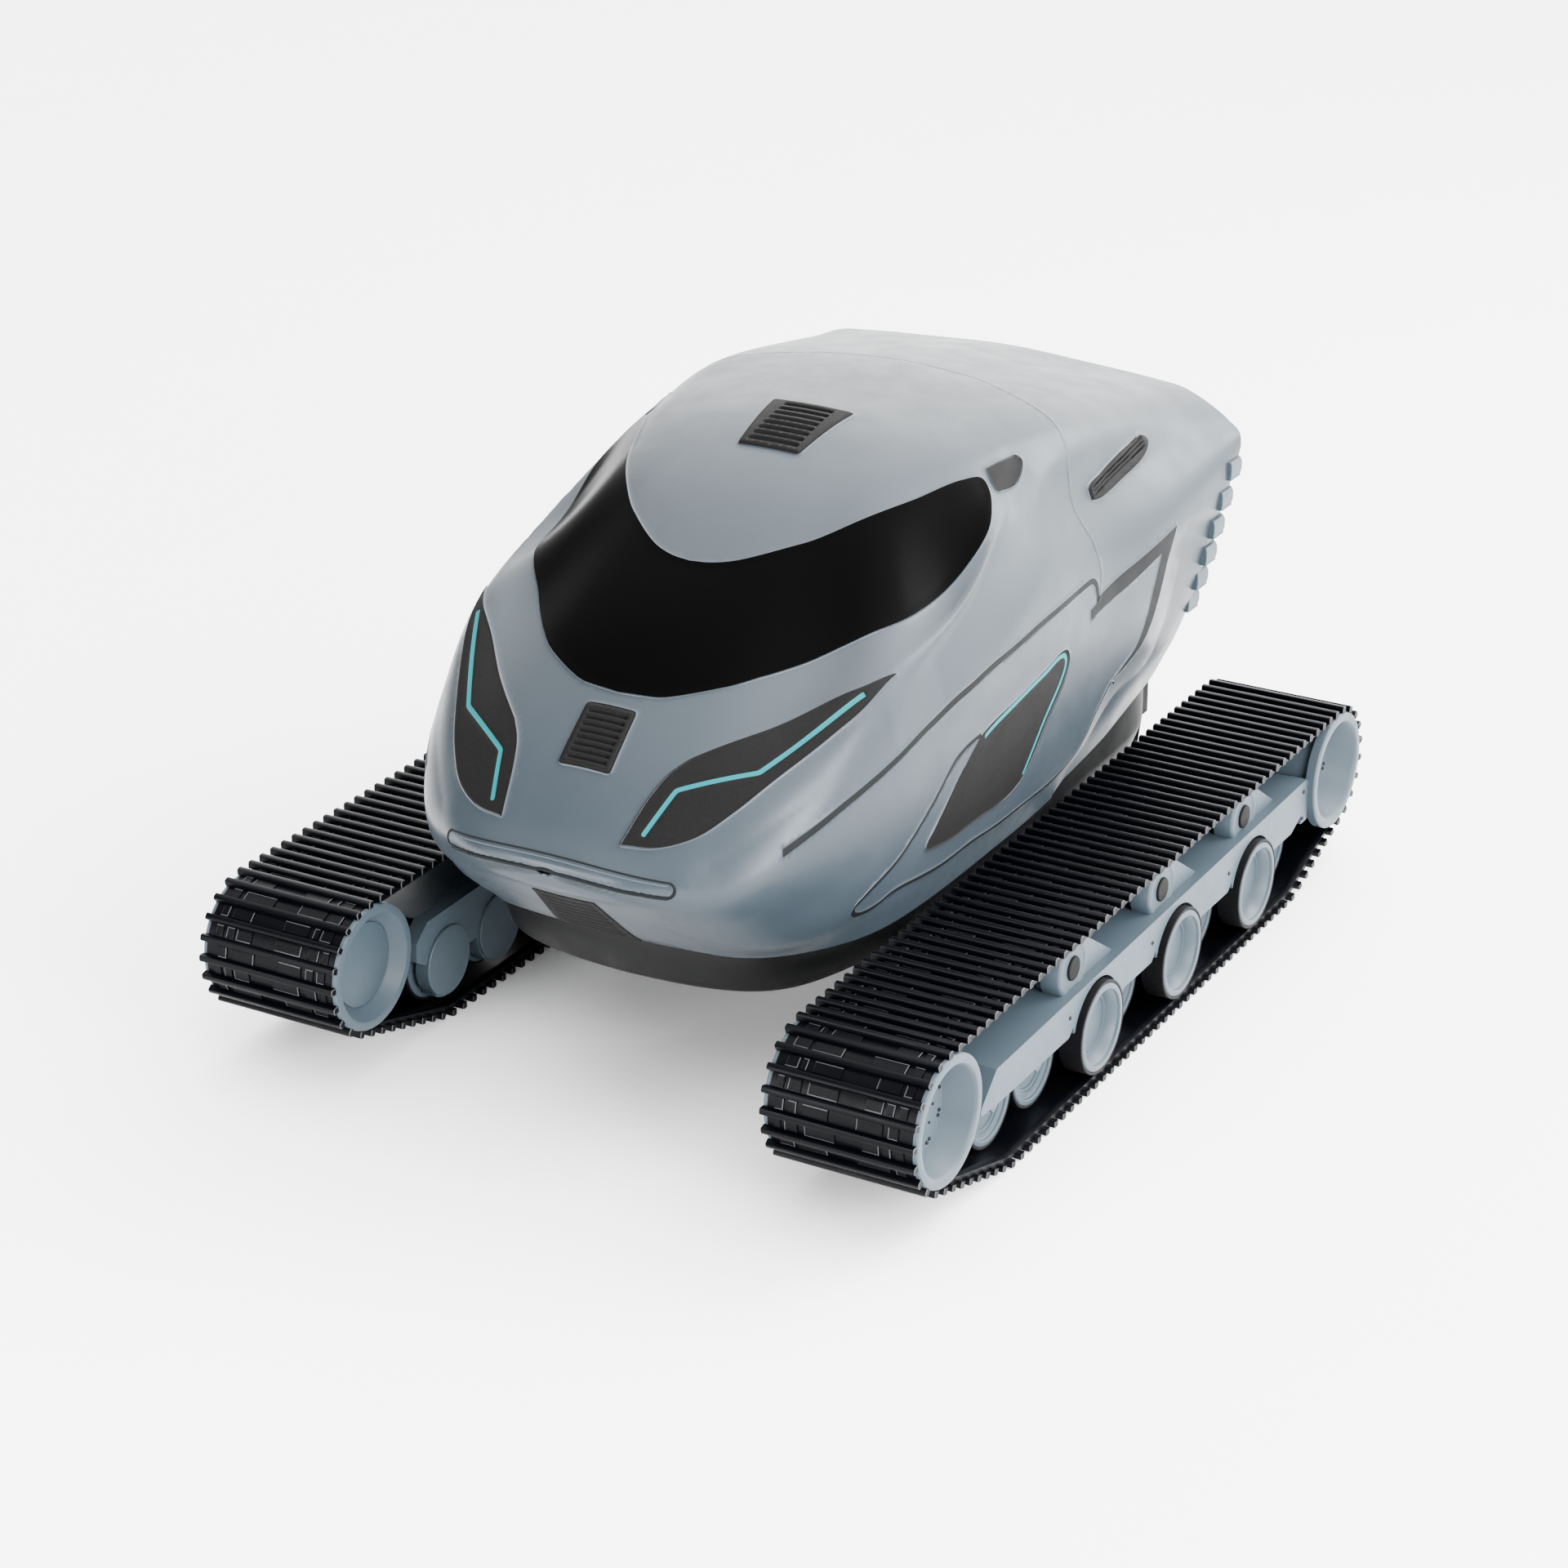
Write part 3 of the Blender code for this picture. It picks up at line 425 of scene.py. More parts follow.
def curve(points, corners, closed):
    """A smooth flat line through the points, with a sharp corner at each listed index."""
    points = np.asarray(points, float)
    count = len(points)
    if closed:
        order = [(corners[0] + k) % count for k in range(count + 1)]
    else:
        order = list(range(count))
    path = points[order]
    sharp = [k for k, index in enumerate(order) if index in corners or k in (0, len(order) - 1)]
    made = []
    for a, b in zip(sharp, sharp[1:]):
        run = path[a : b + 1]
        run = np.vstack([2 * run[:1] - run[1:2], run, 2 * run[-1:] - run[-2:-1]])
        for k in range(1, len(run) - 2):
            p, q, r, w = run[k - 1 : k + 3]
            k1, k2, k3 = (max(1e-6, np.linalg.norm(e)) ** 0.5 for e in (q - p, r - q, w - r))
            m1 = k2 * ((q - p) / k1 - (r - p) / (k1 + k2) + (r - q) / k2)
            m2 = k2 * ((r - q) / k2 - (w - q) / (k2 + k3) + (w - r) / k3)
            for t in np.linspace(0, 1, 12, endpoint=False):
                start = (2 * t**3 - 3 * t**2 + 1) * q + (t**3 - 2 * t**2 + t) * m1
                made.append(start + (3 * t**2 - 2 * t**3) * r + (t**3 - t**2) * m2)
    if not closed:
        made.append(path[-1])
    return np.array(made)


def resample(points, step, closed):
    """The same line with points about this far apart."""
    points = np.asarray(points, float)
    if closed:
        points = np.vstack([points, points[:1]])
    lengths = np.concatenate([[0], np.cumsum(np.linalg.norm(np.diff(points, axis=0), axis=1))])
    count = max(3, int(round(lengths[-1] / step)))
    marks = np.linspace(0, lengths[-1], count + 1)
    found = np.stack([np.interp(marks, lengths, points[:, k]) for k in (0, 1)], axis=1)
    return found[:-1] if closed else found


def soften(points, rounds, closed, mirror=False):
    """Rounds the corners of a line. A mirrored line meets the centre plane square."""
    for _ in range(rounds):
        if closed:
            points = 0.5 * points + 0.25 * (np.roll(points, 1, axis=0) + np.roll(points, -1, axis=0))
        else:
            inner = 0.5 * points[1:-1] + 0.25 * (points[:-2] + points[2:])
            ends = points[[0, -1]].copy()
            if mirror:
                ends[0, 0] = 0.5 * (points[0, 0] + points[1, 0])
                ends[1, 0] = 0.5 * (points[-1, 0] + points[-2, 0])
            points = np.vstack([ends[:1], inner, ends[1:]])
    return points


def line_normals(points, closed):
    """Unit normals of a flat line, to the right of its direction."""
    if closed:
        tangent = np.roll(points, -1, axis=0) - np.roll(points, 1, axis=0)
    else:
        tangent = np.gradient(points, axis=0)
    tangent /= np.maximum(1e-9, np.linalg.norm(tangent, axis=1))[:, None]
    return np.stack([tangent[:, 1], -tangent[:, 0]], axis=1)


def inside(points, polygon):
    """Which flat points lie inside a closed polygon."""
    x, y = points[:, 0], points[:, 1]
    found = np.zeros(len(points), bool)
    for (x1, y1), (x2, y2) in zip(polygon, np.roll(polygon, -1, axis=0)):
        if y1 == y2:
            continue
        crosses = (y1 > y) != (y2 > y)
        found ^= crosses & (x < (x2 - x1) * (y - y1) / (y2 - y1) + x1)
    return found


def distance(points, line, closed, limit):
    """Distance of flat points from a line, for those within the limit of its box."""
    low, high = line.min(axis=0) - limit, line.max(axis=0) + limit
    near = np.where((points > low).all(axis=1) & (points < high).all(axis=1))[0]
    found = np.full(len(points), 1e6)
    if not len(near):
        return found
    p = points[near]
    best = np.full(len(near), 1e6)
    ends = np.roll(line, -1, axis=0) if closed else line[1:]
    for a, b in zip(line, ends):
        edge = b - a
        share = np.clip(((p - a) @ edge) / max(1e-12, edge @ edge), 0, 1)
        best = np.minimum(best, np.linalg.norm(p - a - share[:, None] * edge, axis=1))
    found[near] = best
    return found


LOUVRE_CREASES = (0.18, 0.3, 0.7, 0.82)


class Feature:
    """A closed outline on the skin, or an open one that starts and ends on the centre line.

    The profile gives the skin's height at distances from the outline, negative inside it.
    """

    def __init__(self, name, flat, profile, round_off, corners=None, centre=False, step=2.0, louvres=None):
        self.name, self.centre, self.louvres = name, centre, louvres
        self.profile = profile
        line = np.array(flat, float)
        if corners is not None:
            line = curve(line, corners, not centre)
        line = resample(line, 0.9, not centre)
        line = soften(line, round_off, not centre, mirror=centre)
        self.line = resample(line, step, not centre)
        if centre:
            self.line[[0, -1], 1] = 0.0

    def signed(self, points):
        """Distances from the outline, negative inside it, and which points are inside."""
        reach = max(abs(d) for d, h in self.profile) + 3
        found = distance(points, self.line, not self.centre, reach)
        within = inside(points, self.line)
        return np.where(within, -np.minimum(found, 1e5), found), within

    def height(self, points):
        found, within = self.signed(points)
        ds, hs = zip(*sorted(self.profile))
        made = np.interp(found, ds, hs)
        if self.louvres:
            origin, along, across, count, rise = self.louvres
            place = points - origin
            basis = np.linalg.inv(np.array([along, across], float).T)
            a, b = (place @ basis.T).T
            ridge = np.interp((b * count) % 1.0, [0, *LOUVRE_CREASES, 1], [0, 0, 1, 1, 0, 0])
            ridge = rise * ridge * np.interp(a, [0, 0.03, 0.97, 1], [0, 1, 1, 0])
            made += np.where(within & (b > 0) & (b < 1), ridge, 0)
        return made

    def louvre_lines(self):
        """The crease lines of the louvres, as pairs of flat points."""
        if not self.louvres:
            return []
        origin, along, across, count, _ = self.louvres
        made = []
        for k in range(count):
            for phase in LOUVRE_CREASES:
                start = origin + across * ((k + phase) / count)
                line = np.array([start + along * q for q in (0, 0.03, 0.25, 0.5, 0.75, 0.97, 1)])
                line[:, 1] = np.maximum(line[:, 1], 0)
                made.append(line)
        return made

    def rings(self):
        """The outline moved to each distance of the profile."""
        normals = line_normals(self.line, not self.centre)
        t, s = self.line.T
        if np.sum(t * np.roll(s, -1) - np.roll(t, -1) * s) < 0:
            normals = -normals
        if self.centre:
            normals[[0, -1], 1] = 0
        made = []
        for d, _ in self.profile:
            ring = self.line + normals * d
            if self.centre:
                ring[:, 1] = np.maximum(ring[:, 1], 0)
            made.append(ring)
        return made


# Profiles across an outline, as (distance, height) in millimetres.
PANEL = [(-1.5, -0.45), (-0.6, -0.55), (-0.2, -1.0), (0, -1.1), (0.3, -0.75), (0.8, -0.25), (1.5, 0)]
GLASS = [(-4, -1.2), (-0.3, -1.5), (0, -1.5), (0.2, -0.8), (0.6, -0.2), (1.4, 0)]
LINE = [(-0.6, -0.45), (-0.15, -0.45), (0, -0.3), (0.35, 0)]
LIGHT = [(-0.5, 0.30), (-0.1, 0.25), (0, 0.1), (0.15, 0)]
SLOT = [(-1.2, -3.0), (-0.6, -0.6), (-0.2, -0.8), (0, -0.9), (0.3, -0.5), (0.7, -0.2), (1.2, 0)]
THREAD = [(-0.3, -0.35), (0, -0.25), (0.3, 0)]
GRILLE = [(-1.6, -2.2), (-0.7, -0.5), (-0.2, -0.9), (0, -1.0), (0.3, -0.7), (0.8, -0.25), (1.5, 0)]


def ribbon(points, width):
    """A band of the given width along flat points."""
    points = soften(resample(points, 1.0, False), 3, False)
    normals = line_normals(points, False)
    return np.vstack([points + normals * width / 2, (points - normals * width / 2)[::-1]])


def inset(line, by):
    """The line moved towards the inside of its own bend."""
    line = resample(line, 1.0, False)
    normals = line_normals(line, False)
    middle = 0.5 * (line[0] + line[-1])
    if np.sum((line + normals - middle) ** 2) > np.sum((line - middle) ** 2):
        normals = -normals
    return line + normals * by


VISOR = [
    (0, -288, 330), (21, -286, 330), (36, -283, 331), (73, -262, 334), (91, -244, 339.5),
    (110.5, -219, 344), (125.5, -198, 349.5), (142.5, -177, 357), (155, -152, 362.5),
    (161.5, -116, 367), (164.5, -89.5, 373), (167.5, -68, 382), (169.3, -50, 393), (168.5, -35, 404),
    (164.5, -22.5, 413), (157, -12, 422), (149, -9, 430), (139.5, -25, 431), (123, -70, 427),
    (104, -109, 423), (82, -140, 417), (69, -153, 414), (49, -169, 407), (33, -179, 402),
    (16, -185, 396), (0, -187, 393),
]
HEADLIGHT = [
    (177, -193.5, 344), (163, -218, 340.5), (138, -244, 326), (110, -277, 313), (74, -312.5, 299.5),
    (64, -325, 290), (57, -341, 277), (49, -370, 248), (73.5, -364, 249), (98.5, -349, 257),
    (118, -327, 273), (138, -293, 293.5), (157, -255, 313), (169, -228, 328),
]
HEADLIGHT_LINE = [(165, -222, 335), (123, -300, 294), (74, -332, 282), (63, -361, 255)]
SIDE_PANEL = [
    (198.5, -105, 265.5), (200, -55, 275), (201, -2, 283), (201, 24, 287.5), (200.3, 36, 285),
    (199.8, 41, 275), (199, 33.5, 258), (197.5, 10, 235), (194.5, -8, 210.5), (192.5, -20, 198),
    (191, -46, 190.5), (191, -114, 192), (188, -168.5, 195), (188.5, -170, 200), (193.5, -146, 227),
    (196.5, -126, 248.5),
]
SIDE_LIGHT = [
    (198.5, -97, 264.5), (200, -55, 273.5), (201, -2, 281.5), (201, 22, 285.7), (200.4, 32.5, 284.3),
    (200, 37.5, 279), (199.8, 37.5, 271), (198.8, 29.5, 259), (197.3, 5.5, 235.5), (193, -19, 200),
]
SIDE_STRIPE = [
    (151.5, -317, 244.5), (164.5, -291.5, 257), (172.5, -270, 266), (179, -246.5, 274),
    (184, -227, 280.5), (188, -206, 287.5), (193, -173.5, 297.5), (196.5, -142, 305),
    (199, -108, 311.5), (200.5, -57.5, 318), (201, -4, 323), (200, 42.5, 325), (199, 72, 326),
    (199, 82, 325.5), (199.5, 87.5, 321), (200, 89.5, 314.5), (200, 91, 306),
]
WEDGE = [
    (200, 78, 303), (200, 87.5, 305.5), (200, 92.5, 309.5), (204.5, 152, 320), (210.5, 212, 332),
    (209, 200, 306.5), (205, 194.5, 277), (202, 189, 257), (199.5, 179, 241.5), (197, 157, 230.5),
    (195, 131.5, 223),
]
WEDGE_BACK = [
    (200, 79, 294.5), (202.5, 137.5, 303), (208.5, 189, 315.5), (206, 183, 290), (202.5, 178, 262.5),
    (199.5, 167.5, 242), (196.5, 148, 231), (194.5, 128, 221.5),
]
THIN = [
    (195, 131.5, 223), (190.5, 112, 200.5), (187.5, 103.5, 187), (185.5, 92.5, 176.5), (184, 68, 169),
    (184.5, 38, 167), (186.3, -45, 168.3), (186.7, -115, 172), (183.5, -170, 173.5),
    (179.5, -208, 174), (176.5, -219.5, 170), (172.5, -235, 168), (171, -246, 171.5),
    (171.5, -247.5, 177), (175.5, -238, 184), (184.5, -205.5, 201.5), (191.5, -169, 231),
    (196, -141, 257), (197.2, -128.5, 262.5), (198.5, -104, 266),
]
CREST = [
    (212, 234.5, 330.5), (208, 233.5, 285), (203.5, 232.5, 259.5), (198, 230, 233.5),
    (191.5, 222, 208), (190.5, 200, 202), (190.5, 160, 200), (187.5, 139.5, 187), (181.5, 124, 167.5),
    (176.5, 98, 150), (175.5, 62.5, 146.5),
]
FENDER_RIDGE = [
    (97.5, -373, 224.5), (114, -354, 240), (137, -325, 258.5), (161, -285, 281), (178.5, -236, 303),
    (188, -200, 320),
]
PILLAR_CREST = [
    (158, 44.5, 428), (165.5, 27, 417.5), (171, 9.5, 410.5), (180, -21.5, 396.5), (186.5, -60, 378),
    (190, -93, 360.5), (190.5, -131.5, 345.5), (187, -175.5, 331.5), (180.5, -213, 321.5),
]
SHOULDER_GRILLE = [
    (177.5, 112.5, 387.5), (176.5, 134.5, 392.5), (175.5, 173, 398.5), (175, 212, 401.5),
    (177.5, 217.5, 396), (181.5, 208.5, 388.5), (182.5, 167, 381), (182, 127, 376.5),
    (180.5, 112, 378),
]
SENSOR_POD = [
    (145.5, 1.5, 432.5), (151.5, 38, 433.5), (156, 40.5, 430), (160, 34.5, 424.5), (163, 20.5, 419),
    (160.5, -6, 420), (152.5, -3, 427),
]
SEAM = [
    (0, 141, 455), (70.5, 137, 453), (129, 113, 447.5), (150.5, 105, 440.5),
    (164.5, 97, 428.5), (172, 89, 414), (177, 84, 394.5), (180.5, 83, 380), (185, 87, 368),
    (190.5, 94, 354.5), (195, 96.5, 342), (198, 97.5, 327.5), (199.5, 94.5, 309.5),
]


def centre_louvres(points, margin, count, rise):
    """Louvres between the front and rear edges of a grille on the centre line."""
    flat = flatten(points)
    rear, front = flat[0][0] - margin, flat[-1][0] + margin
    reach = min(flat[1][1], flat[2][1]) - margin
    origin, along = np.array([front, -0.2 * reach]), np.array([0.0, 1.2 * reach])
    return origin, along, np.array([rear - front, 0.0]), count, rise


def smooth_line(points, corners=()):
    """An open flat curve through points on the skin."""
    return curve(flatten(points), corners, False)


def wedge_outline():
    """The swept dark wedge, open at its lower front: a band of changing width."""
    return np.vstack([smooth_line(WEDGE, [0, 1, 2, 4]), smooth_line(WEDGE_BACK, [0, 2])[::-1]])


def make_features():
    """Every panel, grille, groove and light on the skin, the uppermost first."""
    nose = [(0, -297, 318), (21, -297, 318), (22, -337, 285), (0, -337, 285)]
    roof = [(0, -2, 460), (35.5, -2, 460), (26.5, -73, 445), (0, -73, 445)]
    nose_slots, roof_slots = centre_louvres(nose, 4.5, 8, 1.9), centre_louvres(roof, 5.0, 8, 1.9)
    shoulder = flatten(SHOULDER_GRILLE)
    rear, front, low = shoulder[3], shoulder[0], shoulder[8]
    slots = (front * 0.97 + rear * 0.03, (rear - front) * 0.94, low - front, 3, 2.4)
    headlight_strip = ribbon(smooth_line(HEADLIGHT_LINE, [0, 1, 2, 3]), 3.5)
    side_strip = ribbon(inset(smooth_line(SIDE_LIGHT), 2.4), 3.8)
    return [
        Feature("visor", flatten(VISOR), GLASS, 2, [0, 25], centre=True),
        Feature("nose_grille", flatten(nose), GRILLE, 8, centre=True, louvres=nose_slots),
        Feature("roof_grille", flatten(roof), GRILLE, 8, centre=True, louvres=roof_slots),
        Feature("headlight_strip", headlight_strip, LIGHT, 0),
        Feature("headlight", flatten(HEADLIGHT), PANEL, 1, [0, 4, 7]),
        Feature("side_strip", side_strip, LIGHT, 0),
        Feature("side_panel", flatten(SIDE_PANEL), PANEL, 2, [0, 12]),
        Feature("side_stripe", ribbon(smooth_line(SIDE_STRIPE), 4.6), LINE, 0),
        Feature("side_line", ribbon(smooth_line(THIN), 3.0), THREAD, 0, step=1.5),
        Feature("wedge", wedge_outline(), LINE, 0),
        Feature("shoulder_grille", shoulder, SLOT, 2, [3, 8], louvres=slots),
        Feature("sensor_pod", flatten(SENSOR_POD), PANEL, 2, [0, 1, 5]),
    ]


BORDER_T = np.linspace(0, T_END, 240)
FAR = 500
GRID_STEP = 4.0
SEAM_FLOOR, SEAM_EDGE = 0.15, 0.4


def flank_lines():
    """Creases of the flank, fender and pillar, and the line that parts front from rear below the seam."""
    crest, ridge, pillar = (
        resample(smooth_line(line), 3.0, False) for line in (CREST, FENDER_RIDGE, PILLAR_CREST)
    )
    thin = resample(smooth_line(THIN), 2.0, False)
    lower = thin[thin[:, 1] > 0][: int(np.argmax(flatten(THIN[:5])[-1, 0] > thin[:, 0]))]
    inner = resample(np.vstack([smooth_line(WEDGE[4:]), lower[1:]]), 3.0, False)
    middle = [
        (199.8, 84, 300), (206, 170, 318), (209.5, 198, 322), (207, 189, 291), (202.5, 183, 258),
        (198.5, 168, 237), (194.5, 131, 222.3),
    ]
    end = lower[-1, 0]
    split = np.vstack([flatten(middle), lower[1:], [(end, FAR)]])
    drop = np.array([lower[-1], (end, np.interp(end, SKIN_U, WIDTH) - 0.5)])
    return {"crest": crest, "ridge": ridge, "pillar": pillar, "drop": drop, "split": split, "inner": inner}


def frame_relief(flat, inner, crest, split):
    """A raised frame round the swept wedge, with a sloping inner edge."""
    rise, reach = 5.0, 90
    to_inner, to_crest = distance(flat, inner, False, reach), distance(flat, crest, False, reach)
    band = inside(flat, np.vstack([inner, crest[::-1]]))
    behind = ~inside(flat, np.vstack([split, [(-50, FAR), (-50, split[0, 1])]])) & (flat[:, 0] > split[-1, 0])
    share = to_inner / np.maximum(1e-6, to_inner + to_crest)
    high = np.where(to_inner < to_crest, 0.0, np.clip(1 - to_crest / reach, 0.25, 1))
    high = np.where(band, share, high)
    top = np.clip((flat[:, 1] - crest[0, 1]) / 22, 0, 1)
    fore = np.clip((flat[:, 0] - crest[-1, 0]) / 40, 0, 1)
    return rise * high * np.where(behind | band, top * fore, 0.0)


def ridge_relief(flat, ridge):
    """A crisp ridge along the fender."""
    rise, reach = 1.5, 18
    found = distance(flat, ridge, False, reach + 4)
    near = np.argmin(np.abs(flat[:, None, 0] - ridge[None, :, 0]), axis=1) / (len(ridge) - 1)
    return rise * np.clip(1 - found / reach, 0, 1) * np.interp(near, [0, 0.15, 0.7, 1], [0, 1, 0.8, 0])


def pillar_relief(flat, pillar):
    """A soft swell along the windscreen pillar, wider on its outer side."""
    rise, outer_reach, inner_reach = 3.2, 58, 26
    found = distance(flat, pillar, False, 60)
    t, s = pillar[np.argsort(pillar[:, 0])].T
    outer = flat[:, 1] > np.interp(flat[:, 0], t, s)
    near = np.interp(flat[:, 0], t[[0, -1]], [0, 1])
    fall = np.clip(found / np.where(outer, outer_reach, inner_reach), 0, 1)
    return rise * (1 + np.cos(np.pi * fall)) * np.interp(near, [0, 0.25, 0.85, 1], [0, 1, 1, 0])


def flat_mesh(features, seam, creases):
    """Flat points and triangles of the whole half skin, with an edge along every line of its features."""
    points, edges = [], []

    def add_line(line, closed):
        start = len(points)
        points.extend((float(t), float(s)) for t, s in line)
        count = len(line)
        edges.extend((start + k, start + k + 1) for k in range(count - 1))
        if closed:
            edges.append((start + count - 1, start))

    top = np.stack([BORDER_T, np.zeros(len(BORDER_T))], axis=1)
    sill = np.stack([BORDER_T, np.interp(BORDER_T, SKIN_U, WIDTH)], axis=1)
    nose = np.stack([np.zeros(14), np.linspace(0, WIDTH[0], 14)], axis=1)
    rear = np.stack([np.full(110, T_END), np.linspace(0, WIDTH[-1], 110)], axis=1)
    border = np.vstack([top, rear[1:], sill[::-1][1:], nose[::-1][1:-1]])
    add_line(border, True)
    for feature in features:
        for ring in feature.rings():
            add_line(ring, not feature.centre)
        for line in feature.louvre_lines():
            add_line(line, False)
    normals = line_normals(seam, False)
    normals[0] = (1, 0)
    for d in (-SEAM_EDGE, -SEAM_FLOOR, SEAM_FLOOR, SEAM_EDGE):
        add_line(seam + normals * d, False)
    add_line(seam, False)
    for line in creases:
        add_line(line, False)
    rows, columns = np.arange(2.0, T_END - 1, GRID_STEP), np.arange(GRID_STEP / 2, WIDTH.max(), GRID_STEP)
    ts, ss = np.meshgrid(rows, columns)
    grid = np.stack([ts.ravel(), ss.ravel()], axis=1)
    grid = grid[grid[:, 1] < np.interp(grid[:, 0], SKIN_U, WIDTH) - 1.5]
    keep = np.ones(len(grid), bool)
    for feature in features:
        ds = [d for d, _ in feature.profile]
        found, _ = feature.signed(grid)
        keep &= (found > max(ds) + 1.0) | (found < min(ds) - 1.0)
    keep &= distance(grid, seam, False, 5) > 1.6
    for line in creases:
        keep &= distance(grid, line, False, 5) > 1.2
    points.extend(map(tuple, grid[keep]))
    vertices, _, faces, *_ = delaunay_2d_cdt([Vector(p) for p in points], edges, [], 0, 1e-4)
    flat, faces = np.array([tuple(v) for v in vertices]), np.array(faces)
    return flat, faces[inside(flat[faces].mean(axis=1), border)][:, ::-1]


def make_body():
    """Points and faces of the right half of the skin in metres, and the name of each face's piece."""
    features, lines = make_features(), flank_lines()
    seam = resample(soften(resample(flatten(SEAM), 1.0, False), 4, False), 2.0, False)
    seam[0, 1] = 0.0
    flat, faces = flat_mesh(features, seam, [lines[key] for key in ("crest", "ridge", "pillar", "drop")])
    us, vs = unflatten(flat)
    height = sum(feature.height(flat) for feature in features)
    gap = distance(flat, seam, False, 3)
    height += np.interp(gap, [0, SEAM_FLOOR, SEAM_EDGE], [-0.18, -0.15, 0])
    relief = frame_relief(flat, lines["inner"], lines["crest"], lines["split"])
    height += relief + ridge_relief(flat, lines["ridge"]) + pillar_relief(flat, lines["pillar"])
    solid = (skin(us, vs) + skin_normals(us, vs) * height[:, None]) * MM
    solid[flat[:, 1] < 1e-6, 0] = 0.0
    middle = flat[faces].mean(axis=1)
    region = np.full(len(faces), "", dtype=object)
    for feature in features:
        _, within = feature.signed(middle)
        region[within & (region == "")] = feature.name
    ahead = np.vstack([[(-50, -50)], [(seam[0, 0], -50)], seam, lines["split"], [(-50, FAR)]])
    region[(region == "") & inside(middle, ahead)] = "front_shell"
    region[(region == "")] = "rear_shell"
    return solid, faces, region


# ---------------------------------------------------------------- chin and nose


def sharpen_border(mesh):
    """Marks a skin's open edges sharp, so that the rim's faces don't tilt the shading beside them."""
    work = bmesh.new()
    work.from_mesh(mesh)
    for edge in work.edges:
        if edge.is_boundary and max(abs(v.co.x) for v in edge.verts) > 1e-6:
            edge.smooth = False
    work.to_mesh(mesh)
    work.free()


# How far the chin's centre hangs below the skin's edge: places along the body, and drops.
CHIN_DROP = ([-391, -372, -345, -320, -300], [0, 0.5, 1.0, 3.0, 3.5])


def at_y(y):
    return np.interp(y, Y_ROWS, SKIN_U)


def chin_patch():
    """The underside of the nose, from the lower edge of the skin to the centre line."""
    ts = BORDER_T[BORDER_T <= RING_U[5] + 1e-6]
    edge = skin(ts, np.full(len(ts), 8.0))
    columns = np.linspace(0, 1, 22)
    tip, last = CHIN_DROP[0][0], edge[-1, 1]
    points, faces = [], []
    for w in columns:
        bulge = w * (2 - w)
        share = (last - 12 * bulge - tip) / (last - tip)
        ys = tip + (edge[:, 1] - tip) * share
        line = edge if w == 0 else skin(at_y(ys), np.full(len(ys), 8.0))
        drop = np.interp(ys, *CHIN_DROP) * w * (2 - w)
        points.append(np.stack([line[:, 0] * (1 - w), line[:, 1], line[:, 2] - drop], axis=1))
    count = len(ts)
    for c in range(len(columns) - 1):
        for r in range(count - 1):
            a, b = c * count + r, (c + 1) * count + r
            faces.append((a, a + 1, b + 1))
            faces.append((a, b + 1, b))
    points = np.concatenate(points) * MM
    points[-count:, 0] = 0.0
    return points, np.array(faces)


def sheet_faces(rows, width):
    """Faces of a closed sheet: a grid of points, the same grid again behind it, and the wall between."""
    count, faces = rows * width, []
    for r in range(rows - 1):
        for c in range(width - 1):
            a = r * width + c
            faces.append((a, a + width, a + width + 1, a + 1))
            faces.append((count + a, count + a + 1, count + a + width + 1, count + a + width))
    ring = list(range(width)) + [r * width + width - 1 for r in range(1, rows)]
    ring += [(rows - 1) * width + c for c in range(width - 2, -1, -1)]
    ring += [r * width for r in range(rows - 2, 0, -1)]
    faces += [(a, b, count + b, count + a) for a, b in zip(ring, ring[1:] + ring[:1])]
    return faces


def tube(name, points, radii, material, closed=False):
    """A round bead along points in metres, with its own radius at each point."""
    data = bpy.data.curves.new(name, "CURVE")
    data.dimensions = "3D"
    data.bevel_depth = 1.0
    data.bevel_resolution = 3
    data.use_fill_caps = True
    spline = data.splines.new("POLY")
    spline.points.add(len(points) - 1)
    for knot, point, radius in zip(spline.points, points, radii):
        knot.co = (*point, 1.0)
        knot.radius = radius
    spline.use_cyclic_u = closed
    data.materials.append(material)
    obj = bpy.data.objects.new(name, data)
    bpy.context.scene.collection.objects.link(obj)
    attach(obj, "hull")
    return obj


